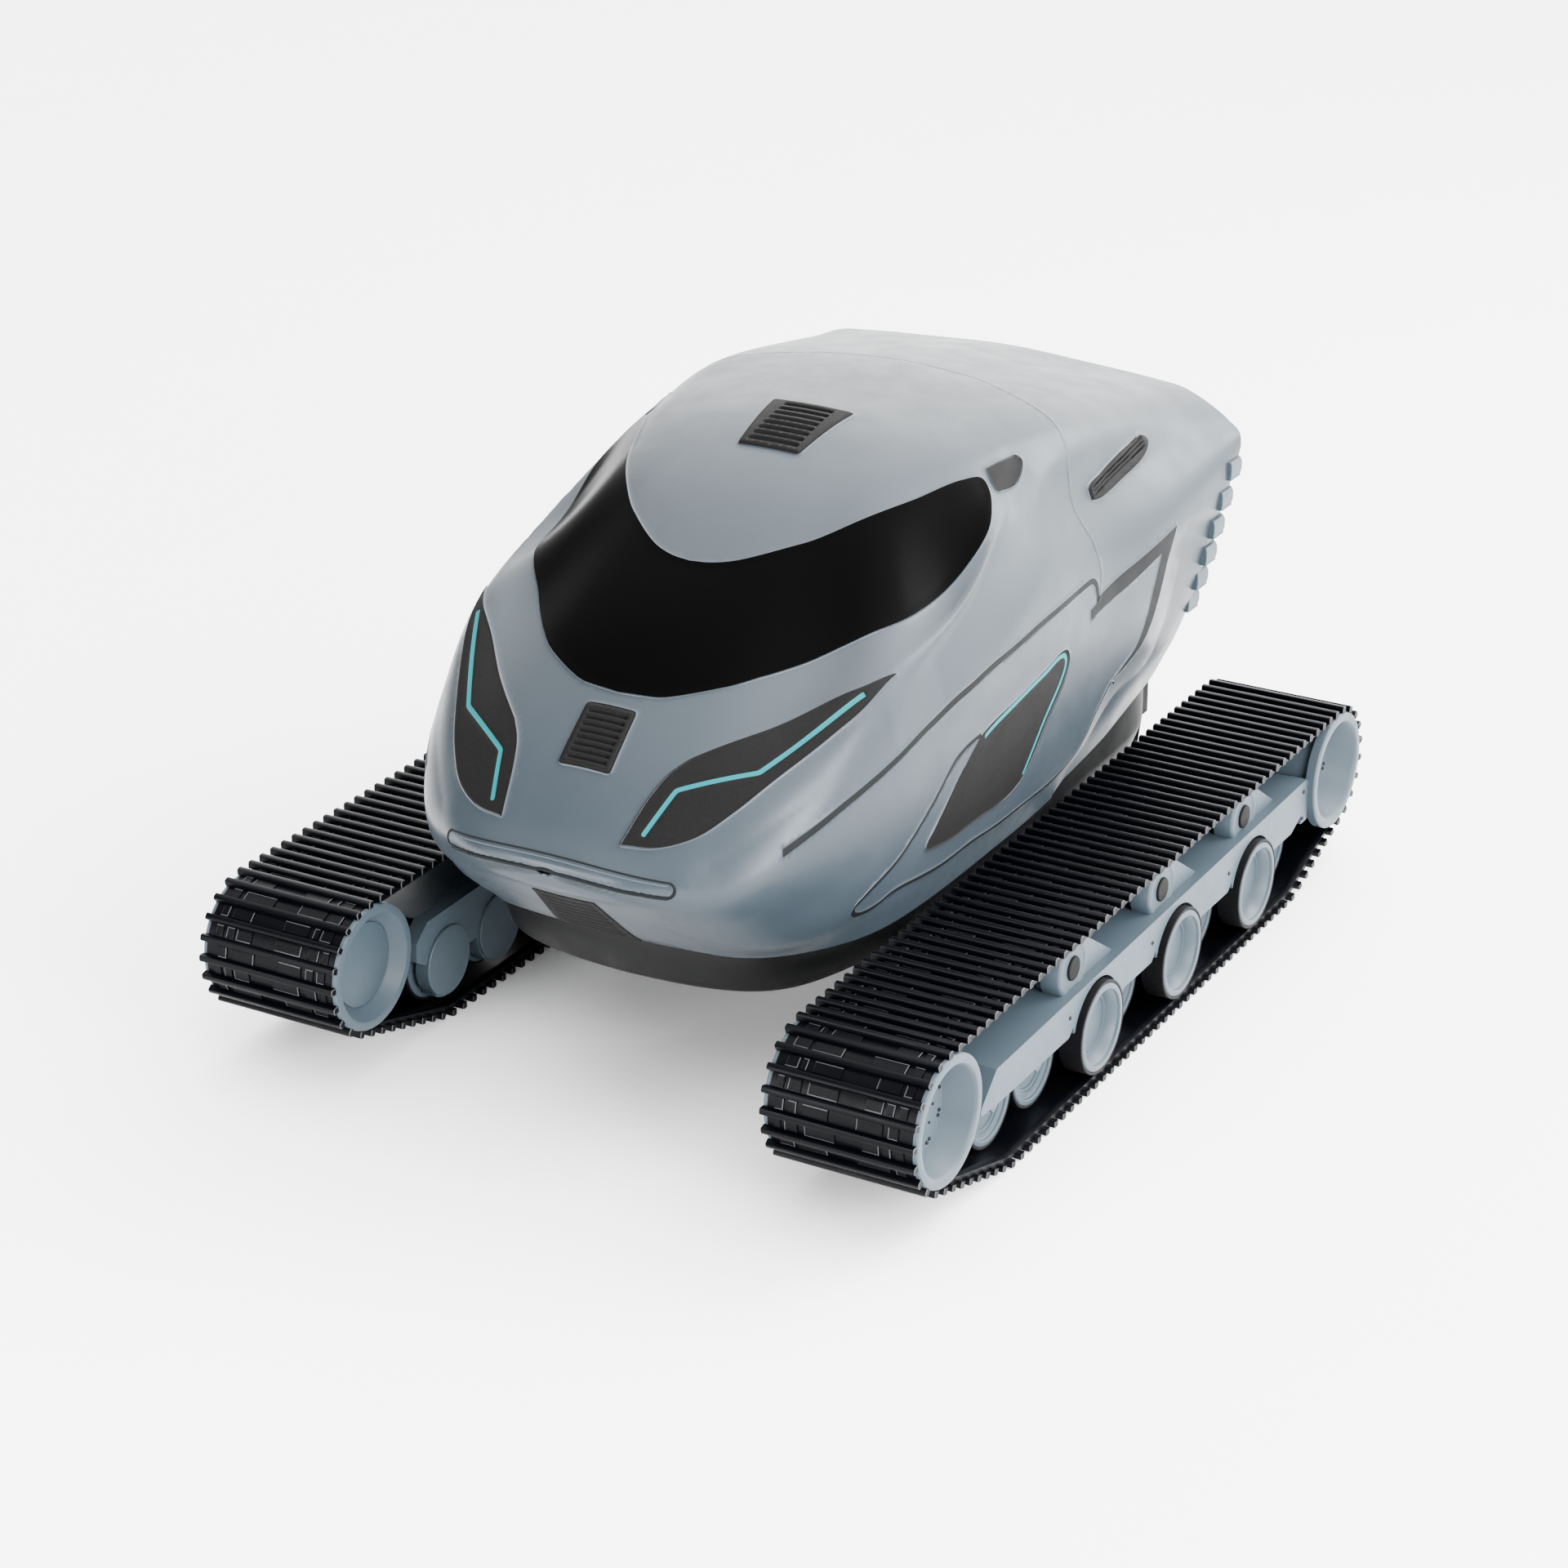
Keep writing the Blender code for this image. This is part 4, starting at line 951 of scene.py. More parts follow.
def make_light_bar(tree):
    """The capsule-shaped groove across the nose, as a bead with a thin pale line inside it, a painted
    highlight near its top.
    """
    half_width, half_height, highlight_lift = 90, 5.6, 3.4

    def on_nose(x, z, out):
        hit, normal, *_ = tree.ray_cast(Vector((max(abs(x), 4) * MM, -1, z * MM)), Vector((0, 1, 0)))
        if hit is None:
            hit, normal, *_ = tree.find_nearest(Vector((abs(x) * MM, -0.38, z * MM)))
        point = hit + (normal if normal.y < 0 else -normal) * out * MM
        across = point.x if abs(x) > 4 else abs(x) * MM
        return (across if x >= 0 else -across, point.y, point.z)

    def middle(x):
        return 231.5 - 7.0 * (x / half_width) ** 2

    def end(x, angle, radius):
        turn = math.radians(angle)
        return x + half_height * math.cos(turn), middle(half_width) + half_height * math.sin(turn), radius

    across = np.linspace(-half_width, half_width, 60)
    path = [(x, middle(x) + half_height, 0.85) for x in across]
    path += [end(half_width, angle, 1.25 - angle / 200) for angle in np.linspace(80, -80, 9)]
    path += [(x, middle(x) - half_height, 1.7) for x in across[::-1]]
    path += [end(-half_width, angle, 1.25) for angle in np.linspace(260, 100, 9)]
    points = [on_nose(x, z, -0.35 * r) for x, z, r in path]
    radii = [r * MM for *_, r in path]
    bar = tube("light_bar_edge", points, radii, LOOKS["stripe"], closed=True)
    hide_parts("light_bar")
    # A pale bead near the top of the groove: a painted highlight.
    line = [on_nose(x, middle(x) + highlight_lift, -0.1) for x in np.linspace(-89, 91, 60)]
    tube("light_bar_highlight_line", line, [0.55 * MM] * len(line), LOOKS["pale"])


def chin_height(x, y):
    """Height of the nose's underside at a place beside or below the skin's edge."""
    section = skin(np.full(61, at_y(y)), np.linspace(5.5, 8, 61))
    edge = section[-1]
    if x >= edge[0]:
        return np.interp(x, section[::-1, 0], section[::-1, 2])
    w = 1 - x / edge[0]
    return edge[2] - np.interp(y, *CHIN_DROP) * w * (2 - w)


def make_chin_louvres():
    """A flanged grille of eight louvres, bent to the chin."""
    front, length, half_width, widening, louvres = -369, 50, 26, 9, 8
    rows = [(0, 0.2), (0.03, 0.5), (0.07, 0.1)]
    for k in range(louvres):
        for phase, rise in ((0.15, 0.1), (0.3, 0.9), (0.6, 0.9), (0.8, 0.1)):
            rows.append((0.09 + 0.82 * (k + phase) / louvres, rise))
    rows += [(0.93, 0.1), (0.97, 0.5), (1, 0.2)]
    columns = [-1, -0.94, -0.87, -0.82, *np.linspace(-0.75, 0.75, 13), 0.82, 0.87, 0.94, 1]
    flange = {0: 0.2, 1: 0.5, 2: 0.1, 3: 0.1}
    width, points = len(columns), []
    for b, rise in rows:
        y = front + length * b
        for k, a in enumerate(columns):
            x = a * (half_width + widening * b)
            side = min(k, width - 1 - k)
            lift = 0.35 + (flange.get(side, rise) if 0.05 < b < 0.95 else max(0.1, rise))
            points.append((x, y - 0.66 * lift, chin_height(abs(x), y) - 0.75 * lift))
    points += [(x, y + 1.4, z + 1.6) for x, y, z in points]
    faces = sheet_faces(len(rows), width)
    grille = new_object("chin_louvres", np.array(points) * MM, faces, LOOKS["dark"])
    grille.data.set_sharp_from_angle(angle=math.radians(40))
    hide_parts("chin_grille")


# ---------------------------------------------------------------- running gear

AXLES = {joint["child"]: joint["pos_m"] for joint in frame["joints"]}
TRACK_IN, TRACK_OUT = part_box("track_belt_right")[0].x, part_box("track_belt_right")[1].x
END_RADIUS, ROAD_RADIUS = 0.045, 0.0359


def merge(pieces):
    """One list of vertices and faces from several (vertices, faces, material index) pieces."""
    vertices, faces, slots = [], [], []
    for points, polygons, slot in pieces:
        start = len(vertices)
        vertices.extend(points)
        faces.extend(tuple(start + k for k in polygon) for polygon in polygons)
        slots.extend([slot] * len(polygons) if isinstance(slot, int) else slot)
    return vertices, faces, slots


def solid_object(name, pieces, materials, body, angle, bevel=0.0):
    """One object from closed pieces, sharp where it bends more than the angle, or bevelled there."""
    vertices, faces, slots = merge(pieces)
    obj = new_object(name, vertices, faces, materials[0], body)
    for material in materials[1:]:
        obj.data.materials.append(material)
    obj.data.polygons.foreach_set("material_index", slots)
    if bevel:
        edge = obj.modifiers.new("edges", "BEVEL")
        edge.width = bevel
        edge.segments = 2
        edge.limit_method = "ANGLE"
        edge.angle_limit = math.radians(angle)
        edge.use_clamp_overlap = True
        edge.harden_normals = True
    obj.data.set_sharp_from_angle(angle=math.radians(angle))
    return obj


def out_faces(points, faces):
    """Faces turned so that a closed piece faces outwards."""
    volume = 0.0
    p = np.array(points)
    for face in faces:
        for b, c in zip(face[1:], face[2:]):
            volume += np.dot(p[face[0]], np.cross(p[b], p[c]))
    return faces if volume > 0 else [tuple(reversed(f)) for f in faces]


def prism(outline, x_low, x_high):
    """A solid with a (y, z) outline, from one x to another."""
    count = len(outline)
    points = [(x, y, z) for x in (x_low, x_high) for y, z in outline]
    faces = [(count + i, count + (i + 1) % count, (i + 1) % count, i) for i in range(count)]
    faces += [tuple(range(count)), tuple(range(2 * count - 1, count - 1, -1))]
    return points, out_faces(points, faces), 0


def loft(rings):
    """Faces round rings of points that follow one another, with both ends closed."""
    count, last = len(rings[0]), len(rings) - 1
    faces = []
    for r in range(last):
        for i in range(count):
            a, b = r * count + i, r * count + (i + 1) % count
            faces.append((a, b, b + count, a + count))
    return faces + [tuple(range(count - 1, -1, -1)), tuple(range(last * count, (last + 1) * count))]


def block(low, high):
    outline = [(low[1], low[2]), (high[1], low[2]), (high[1], high[2]), (low[1], high[2])]
    return prism(outline, low[0], high[0])


def turned(profile, centre, segments=72, slot=0):
    """A closed (x, radius) profile turned about X. Points at radius 0 meet on the axis."""
    points, index = [], []
    for x, radius in profile:
        if radius < 1e-7:
            index.append([len(points)] * segments)
            points.append((x, centre[0], centre[1]))
            continue
        index.append(list(range(len(points), len(points) + segments)))
        for k in range(segments):
            angle = 2 * math.pi * k / segments
            points.append((x, centre[0] + radius * math.cos(angle), centre[1] + radius * math.sin(angle)))
    faces = []
    rows = len(profile)
    for i in range(rows):
        a, b = index[i], index[(i + 1) % rows]
        if a[0] == a[1] and b[0] == b[1]:
            continue
        for k in range(segments):
            n = (k + 1) % segments
            faces.append(tuple(dict.fromkeys((a[k], a[n], b[n], b[k]))))
    return points, out_faces(points, faces), slot


def flip(profile, side):
    """The profile for the right side (1) or the left side (-1)."""
    return profile if side > 0 else [(-x, r) for x, r in profile]


def screw(x, y, z, radius, side):
    """A small cap screw standing out of a face that looks along X."""
    h = 0.0009
    profile = [
        (x - 0.001, 0), (x - 0.001, radius), (x + h * 0.6, radius), (x + h, radius * 0.8),
        (x + h, radius * 0.45), (x + h * 0.3, radius * 0.4), (x + h * 0.3, 0),
    ]
    return turned(flip(profile, side), (y, z), 14, 1)


def belt_path():
    """The right belt's inner line, as arcs round its four corner wheels and straight runs between them."""
    circles = []
    for stem, radius in (
        ("idler_wheel_right", END_RADIUS), ("inner_road_wheel_right_1", ROAD_RADIUS),
        ("inner_road_wheel_right_5", ROAD_RADIUS), ("drive_wheel_right", END_RADIUS),
    ):
        _, y, z = AXLES[stem + "_body"]
        circles.append((y, z, radius))
    joins = []
    for (y1, z1, r1), (y2, z2, r2) in zip(circles, circles[1:] + circles[:1]):
        run, rise = y2 - y1, z2 - z1
        lean = math.asin((r1 - r2) / math.hypot(run, rise))
        joins.append(math.atan2(rise, run) - math.pi / 2 + lean)
    pieces = []
    for i, (y, z, radius) in enumerate(circles):
        start, end = joins[i - 1], joins[i]
        while end < start - 1e-9:
            end += 2 * math.pi
        pieces.append(("arc", (y, z), radius, start, end, radius * (end - start)))
        y2, z2, r2 = circles[(i + 1) % 4]
        normal = joins[i]
        a = np.array([y + radius * math.cos(normal), z + radius * math.sin(normal)])
        b = np.array([y2 + r2 * math.cos(normal), z2 + r2 * math.sin(normal)])
        pieces.append(("line", a, b, normal, 0, float(np.linalg.norm(b - a))))
    return pieces


BELT = belt_path()
BELT_LENGTH = sum(piece[-1] for piece in BELT)
LINKS = 122


def belt_at(s):
    """Point on the belt's inner line at arc length s, with the directions along it and outwards."""
    s %= BELT_LENGTH
    for piece in BELT:
        if s <= piece[-1]:
            break
        s -= piece[-1]
    share = s / piece[-1]
    if piece[0] == "arc":
        angle = piece[3] + share * (piece[4] - piece[3])
        base = np.array(piece[1]) + piece[2] * np.array([math.cos(angle), math.sin(angle)])
    else:
        angle = piece[3]
        base = piece[1] + share * (piece[2] - piece[1])
    out = np.array([math.cos(angle), math.sin(angle)])
    return base, np.array([-out[1], out[0]]), out


# Pad layouts across the belt, as (from, to) shares of the width between the bars.
PAD_ROWS = [
    [(0.06, 0.15), (0.17, 0.21), (0.25, 0.45), (0.70, 0.86), (0.89, 0.95)],
    [(0.05, 0.11), (0.14, 0.20), (0.24, 0.42), (0.62, 0.80), (0.84, 0.91)],
    [(0.06, 0.17), (0.19, 0.40), (0.60, 0.84), (0.88, 0.95)],
    [(0.04, 0.09), (0.12, 0.21), (0.26, 0.47), (0.66, 0.78), (0.80, 0.86), (0.89, 0.95)],
]


# Sections of a bar along the belt, and of the band across it, as heights in millimetres above its inside.
BAR_FOOT = 5.0
BAR = [
    (-2.7, -0.4), (-2.75, 3.6), (-2.3, 4.7), (-1.3, 5.1), (1.3, 5.1), (2.3, 4.7), (2.75, 3.6), (2.7, -0.4),
]
BAND_LEFT = [(0.0062, 0.35), (0.0055, 0.05), (0.003, 0.25), (0, 1.2)]


def belt_bar(s):
    """One bar across the belt, with small chamfers at its ends that carry the light edge colour: painted edge
    highlights, also standing for rubbed wear.
    """
    base, along, out = belt_at(s)
    chamfer, rings = 0.0005, []
    ends = ((TRACK_IN, 0.55), (TRACK_IN + chamfer, 0.0), (TRACK_OUT - chamfer, 0.0), (TRACK_OUT, 0.55))
    for x, shrink in ends:
        ring = []
        for u, h in BAR:
            u, h = u - math.copysign(shrink, u), h - shrink if h > 0 else h
            y, z = base + along * u * MM + out * (BAR_FOOT + h) * MM
            ring.append((x, y, z))
        rings.append(ring)
    # The end chamfers take the light edge colour, a painted highlight outline round each bar end.
    slots = [0 if r == 1 or i == len(BAR) - 1 else 1 for r in range(3) for i in range(len(BAR))]
    return rings, slots + [0, 0]


def belt_pad(s, low, high, shift):
    """A low pad between two bars. The shift varies which of its bevelled edges carry the light edge colour:
    painted edge highlights, also standing for rubbed wear.
    """
    base, along, out = belt_at(s)
    rings = []
    for margin, h in ((0.0, -0.3), (0.0, 1.0), (0.75, 1.15), (0.95, 0.9)):
        x1, x2, u1 = low + margin * MM, high - margin * MM, 4.3 - margin
        ring = []
        for x, u in ((x1, -u1), (x2, -u1), (x2, u1), (x1, u1)):
            y, z = base + along * u * MM + out * (BAR_FOOT + h) * MM
            ring.append((x, y, z))
        rings.append(ring)
    # Some bevel sides take the light edge colour as painted highlight lines, also standing for rubbed wear.
    slots = [1 if r == 1 and (i + shift) % 5 < 2 else 0 for r in range(3) for i in range(4)]
    return rings, slots + [0, 0]


def belt_band(side):
    """The band under the bars, closed round the belt."""
    stops, start = [], 0.0
    for kind, *_, length in BELT:
        steps = max(2, int(length / (0.003 if kind == "arc" else 0.014)))
        stops += [start + length * k / steps for k in range(steps)]
        start += length
    low, high = TRACK_IN + 0.004, TRACK_OUT - 0.004
    section = [(low, 5.1), (low + 0.004, 5.1), (high - 0.004, 5.1), (high, 5.1)]
    section += [(high - x, h) for x, h in BAND_LEFT[::-1]] + [(low + x, h) for x, h in BAND_LEFT]
    points = []
    for s in stops:
        base, _, out = belt_at(s)
        for x, h in section:
            y, z = base + out * h * MM
            points.append((x * side, y, z))
    rows, wide, faces = len(stops), len(section), []
    for r in range(rows):
        for c in range(wide):
            a, b = r * wide + c, r * wide + (c + 1) % wide
            d, e = (r + 1) % rows * wide + c, (r + 1) % rows * wide + (c + 1) % wide
            faces.append((a, b, e, d))
    return points, out_faces(points, faces), 0


def make_belt(side, tag):
    """A whole belt: bars, the pads between them and the band."""
    pitch = BELT_LENGTH / LINKS
    low, width = TRACK_IN + 0.0045, TRACK_OUT - TRACK_IN - 0.009
    pieces = []

    def add(rings, slots):
        points = [(x * side, y, z) for ring in rings for x, y, z in ring]
        pieces.append((points, out_faces(points, loft(rings)), slots))

    for k in range(LINKS):
        add(*belt_bar(k * pitch))
        for a, b in PAD_ROWS[(k * 7 // 3) % len(PAD_ROWS)]:
            add(*belt_pad((k + 0.5) * pitch, low + a * width, low + b * width, k + len(pieces)))
    pieces.append(belt_band(side))
    belt = solid_object("belt_" + tag, pieces, [LOOKS["rubber"], LOOKS["edge"]], "hull", 28)
    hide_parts("track_belt_" + tag)


def make_end_wheel(side, tag, stem):
    """A drive or idler wheel: two rims and a hub between them, a dished outer face and its screws."""
    body = f"{stem}_wheel_{tag}_body"
    _, y, z = AXLES[body]
    rim, neck, hub = 0.0495, 0.0446, 0.0090
    outer = [
        (0.0235, 0), (0.0235, 0.0305), (0.0232, 0.0312), (0.0222, 0.0318), (0.0030, 0.0405),
        (0.0012, 0.0414), (0.0002, 0.0424), (0, 0.0434), (0, 0.0478), (0.0004, 0.0489), (0.0014, rim),
        (0.0085, rim), (0.0095, neck),
    ]
    inner = [
        (0.0095, neck), (0.0085, rim), (0.0014, rim), (0.0004, 0.0489), (0, 0.0478), (0, 0.0434),
        (0.0002, 0.0424), (0.0012, 0.0414), (0.0100, 0.0352), (0.0108, 0.0344), (0.0118, 0.0340),
        (0.0118, 0.0334), (0.0104, 0.0330), (0.0100, 0.0322), (0.0100, 0),
    ]
    profile = [(TRACK_OUT - x, r) for x, r in outer]
    profile += [(0.2685, neck), (0.2685, hub), (0.2185, hub), (0.2185, neck)]
    profile += [(TRACK_IN + x, r) for x, r in inner]
    pieces = [turned(flip(profile, side), (y, z), 96)]

    def add_screw(depth, radius, turn, head):
        place = y + radius * math.cos(turn), z + radius * math.sin(turn)
        pieces.append(screw(TRACK_OUT - depth, *place, head, side))

    for k in range(8):
        turn = 2 * math.pi * (k + 0.5) / 8
        add_screw(0.0232, 0.0285, turn - 0.07, 0.0014)
        add_screw(0.0232, 0.0285, turn + 0.07, 0.0014)
        add_screw(0.0235, 0.0175, turn + 0.39, 0.0011)
    looks = [LOOKS["pale"], LOOKS["screw"]]
    wheel = solid_object(f"{stem}_wheel_{tag}_turned", pieces, looks, body, 30)
    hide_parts(f"{stem}_wheel_{tag}")


def make_road_wheel(side, tag, kind, number):
    """A dished wheel with a tyre band. An outer one has a cap over its pin."""
    node = f"{kind}_road_wheel_{tag}_{number}"
    body = node + "_body"
    _, y, z = AXLES[body]
    low, high, dish = (0.2845, 0.3041, 0.0120) if kind == "outer" else (0.2045, 0.2825, 0.0060)
    floor, bore = high - dish, 0.0066
    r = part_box(node)[1].z - z
    tyre = [
        (low, r - 0.0022), (low, r - 0.0006), (low + 0.0006, r), (high - 0.0011, r),
        (high - 0.0005, r - 0.0004), (high - 0.0004, r - 0.0014), (high - 0.0010, r - 0.0022),
    ]
    hub = [
        (low, bore), (low, r - 0.0024), (high - 0.0011, r - 0.0024), (high - 0.0003, r - 0.0030),
        (high, r - 0.0040), (high, r - 0.0062), (high - 0.0005, r - 0.0070), (high - 0.0022, r - 0.0076),
        (high - 0.0028, r - 0.0084), (floor + 0.0030, r - 0.0118), (floor + 0.0016, r - 0.0124),
        (floor + 0.0014, r - 0.0140), (floor, r - 0.0146), (floor, bore),
    ]
    pieces = [turned(flip(tyre, side), (y, z), 80, 1), turned(flip(hub, side), (y, z), 80, 0)]
    if kind == "outer":
        cap = [(floor - 0.0005, 0), (floor - 0.0005, bore), (floor, bore), (floor, 0)]
        pieces.append(turned(flip(cap, side), (y, z), 24, 0))
    looks = [LOOKS["pale"], LOOKS["tyre"]]
    wheel = solid_object(node + "_turned", pieces, looks, body, 30)
    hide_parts(node)


def make_roller(side, tag, number):
    """A plain return roller with chamfered ends."""
    node = f"return_roller_{tag}_{number}"
    body = node + "_body"
    _, y, z = AXLES[body]
    low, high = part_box("return_roller_right_1")[0].x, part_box("return_roller_right_1")[1].x
    r, bore, chamfer = 0.0208, 0.0058, 0.001
    profile = [(low, bore), (low, r - chamfer), (low + chamfer, r)]
    profile += [(high - chamfer, r), (high, r - chamfer), (high, bore)]
    pieces = [turned(flip(profile, side), (y, z), 56)]
    roller = solid_object(node + "_turned", pieces, [LOOKS["pale"]], body, 30)
    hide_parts(node)


PLATE_FRONT, PLATE_REAR, PLATE_TOP = -0.262, 0.2985, 0.0975
PLATE_RAMP = 0.270
NOTCH_RADIUS, NOTCH_MOUTH = 0.0392, 0.0475


def plate(floor_z, front, lobe_radius=0.0, lobes=(), notches=()):
    """Side plate outline: a bar with round lobes below it or round notches for the outer wheels."""
    low = []
    for y in np.linspace(PLATE_FRONT, PLATE_REAR, 360):
        z = floor_z
        if y > PLATE_RAMP:
            z = floor_z + (y - PLATE_RAMP) * 0.45
        for cy, cz in lobes:
            if abs(y - cy) < lobe_radius:
                z = min(z, cz - math.sqrt(lobe_radius**2 - (y - cy) ** 2))
        for cy, cz in notches:
            if abs(y - cy) < NOTCH_RADIUS:
                z = max(z, cz + math.sqrt(NOTCH_RADIUS**2 - (y - cy) ** 2))
            elif abs(y - cy) < NOTCH_MOUTH and y < cy:
                z = max(z, floor_z + (NOTCH_MOUTH - abs(y - cy)) * 0.9)
        low.append((float(y), float(z)))
    return front + [(PLATE_REAR, PLATE_TOP)] + low[::-1][:-1]


ROLLER_DROP = 0.0042
BOSS = [
    (0.2750, 0), (0.2750, 0.0245), (0.2890, 0.0245), (0.2905, 0.0235), (0.2912, 0.0220),
    (0.2912, 0.0190), (0.2906, 0.0182), (0.2902, 0.0172), (0.2902, 0),
]
PLUG = [(0.2860, 0), (0.2860, 0.0096), (0.2915, 0.0096), (0.2922, 0.0088), (0.2922, 0)]
DISC = [(0.2000, 0), (0.2000, 0.0285), (0.1880, 0.0285), (0.1872, 0.0277), (0.1872, 0)]
IDLER_ARM = [
    (-0.375, 0.078), (-0.375, 0.096), (-0.365, 0.106), (-0.330, 0.106), (-0.262, 0.0885), (-0.262, 0.0868),
    (-0.284, 0.0868), (-0.292, 0.066), (-0.330, 0.064), (-0.365, 0.068),
]


def make_side_frame(side, tag):
    """Outer and inner plates with a shelf between them, the wheels' pins, and the rollers' brackets."""
    pieces = []

    def add_prism(outline, low, high):
        pieces.append(prism(outline, low * side, high * side))

    def add_block(low, high):
        pieces.append(block((low[0] * side, *low[1:]), (high[0] * side, *high[1:])))

    def add_turned(profile, y, z, segments, slot=0):
        pieces.append(turned(flip(profile, side), (y, z), segments, slot))

    def add_pin(low, high, radius, y, z, segments=20):
        add_turned([(low, 0), (low, radius), (high, radius), (high, 0)], y, z, segments)

    def axles(kind, count):
        return [AXLES[f"{kind}_right_{k}_body"][1:] for k in range(1, count + 1)]

    inner, outer = axles("inner_road_wheel", 5), axles("outer_road_wheel", 3)
    tip = [(PLATE_FRONT, 0.059), (-0.288, 0.0605), (-0.291, 0.0625), (-0.290, 0.067), (-0.2665, 0.0885)]
    add_prism(plate(0.059, tip, notches=outer), 0.2840, 0.2985)
    tip = [(PLATE_FRONT, 0.047), (-0.284, 0.060), (-0.284, 0.076), (-0.268, 0.0885)]
    add_prism(plate(0.047, tip, 0.0300, inner), 0.1900, 0.2030)
    add_prism([(-0.266, 0.0866), (-0.266, 0.0885), (0.297, PLATE_TOP), (0.297, 0.0866)], 0.1985, 0.2900)
    for y, z in inner:
        add_turned(DISC, y, z, 56)
        add_pin(0.195, 0.286, 0.006, y, z)
    for y, z in outer:
        add_block((0.196, y - 0.029, 0.040), (0.2830, y + 0.029, 0.0870))
        add_pin(0.27, 0.290, 0.006, y, z)
        pieces.append(screw(0.2985, y - 0.047, z + 0.0275, 0.0017, side))
    for y, z in axles("return_roller", 3):
        gusset = [(y - 0.0130, 0.0870)]
        for angle in np.linspace(200, 60, 12):
            turn = math.radians(angle)
            gusset.append((y + 0.0204 * math.cos(turn), z + 0.0204 * math.sin(turn)))
        gusset += [(y + 0.0180, 0.1262), (y + 0.0730, 0.0895), (y + 0.0730, 0.0870)]
        add_prism(gusset, 0.2680, 0.2895)
        add_turned(BOSS, y, z - ROLLER_DROP, 48)
        add_turned(PLUG, y, z - ROLLER_DROP, 32, 2)
        add_pin(0.2180, 0.2760, 0.0205, y + 0.001, z - ROLLER_DROP, 40)
        add_pin(0.206, 0.283, 0.005, y, z)
    add_prism(IDLER_ARM, 0.2300, 0.2570)
    add_block((0.23, 0.2960, 0.0700), (0.257, 0.3170, 0.1000))
    add_block((0.2842, 0.290, 0.060), (0.2984, 0.3020, 0.0955))
    for z in (0.0885, 0.0645):
        pieces.append(screw(0.2985, 0.2920, z, 0.0019, side))
    looks = [LOOKS["pale"], LOOKS["screw"], LOOKS["dark"]]
    made = solid_object("frame_" + tag, pieces, looks, "hull", 40, bevel=0.0011)
    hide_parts("side_frame_" + tag)


PAN = [
    (0, -300), (43, -297), (80, -290), (108, -278), (130, -258), (150, -215), (163, -150), (168, 0),
    (168, 150), (160, 270), (148, 297), (0, 297),
]
# The pan's wall from its outer rim down, and back up its inner side, as distance from the outline and height.
PAN_OUTSIDE = [(-3, 176.0), (0, 176.0), (0, 131.0), (-1, 126.0), (-9, 104.0), (-13, 101.0), (-18, 100.0)]
PAN_INSIDE = [(-18, 102.5), (-11, 104.0), (-4, 127.0), (-3, 131.0)]


def make_pan():
    """A shallow tub whose walls lean in towards the floor, and rise behind the rear flanks."""
    half = resample(curve(PAN, [0, 10, 11], False), 6.0, False)
    whole = soften(np.vstack([half[:-1], half[:0:-1] * (-1, 1)]), 2, True)
    normals = line_normals(whole, True)
    if np.sum((whole + normals) ** 2) < np.sum(whole**2):
        normals = -normals
    top = np.interp(whole[:, 1], [30, 90], [139.5, 176.0])
    points, faces = [], []
    for d, z in PAN_OUTSIDE + PAN_INSIDE:
        line = whole + normals * d * np.where(whole[:, 1:] > 280, 0.35, 1.0)
        points += [(x * MM, y * MM, min(z, limit) * MM) for (x, y), limit in zip(line, top)]
    count, below, rows = len(whole), len(PAN_OUTSIDE), len(PAN_OUTSIDE + PAN_INSIDE)
    for r in range(rows):
        for k in range(count if r != below - 1 else 0):
            a, b = r * count + k, r * count + (k + 1) % count
            c, d = (r + 1) % rows * count + (k + 1) % count, (r + 1) % rows * count + k
            faces.append((a, b, c, d))
    faces.append(tuple(range((below - 1) * count, below * count)))
    faces.append(tuple(range((below + 1) * count - 1, below * count - 1, -1)))
    tub = [(points, out_faces(points, faces), 0)]
    pan = solid_object("pan_tub", tub, [LOOKS["pan"]], "hull", 50)
    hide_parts("chassis_pan")


def make_rear():
    """The leaning rear face: a dark sheet set into the shell, and pale fins that show past its edge."""
    edge = skin(np.full(49, T_END), np.linspace(0, 8, 49))
    edge = edge[edge[:, 0] > 20]
    columns = (-1, -0.6, -0.2, 0.2, 0.6, 1)
    sheet = []
    for depth in (7.0, 11.0):
        for x, y, z in edge:
            for w in columns:
                sheet.append((x * w * 0.985 * MM, (y - depth) * MM, (z - 1.5 if z > 300 else z) * MM))
    pieces = [(sheet, out_faces(sheet, sheet_faces(len(edge), len(columns))), 1)]
    low = edge[np.argsort(edge[:, 2])]
    low = low[low[:, 1] < 345]
    for z in range(240, 351, 22):
        half = np.interp(z, low[:, 2], low[:, 0]) + 2.0
        y = 330 - np.interp(z, *REAR_LEAN)
        outline = [(-half, y - 12), (-half, y + 7), (-half + 8, y + 15)]
        outline += [(-x, t) for x, t in outline[::-1]]
        rings = []
        for h, grow in ((z - 7.5, 0.0), (z - 3.0, 2.0), (z + 3.5, 2.0), (z + 7.5, 0.0)):
            ring = [(x + math.copysign(grow * 0.4, x), t + (grow if t > y else 0), h) for x, t in outline]
            rings.append([(x * MM, t * MM, h * MM) for x, t, h in ring])
        points = [p for ring in rings for p in ring]
        faces = loft(rings)[:-2] + [tuple(range(6)), tuple(range(18, 24))]
        pieces.append((points, out_faces(points, faces), 0))
    looks = [LOOKS["pale"], LOOKS["dark"]]
    rear = solid_object("rear_fins", pieces, looks, "hull", 30, bevel=0.0012)
    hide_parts("rear_grille")


# ---------------------------------------------------------------- assembly

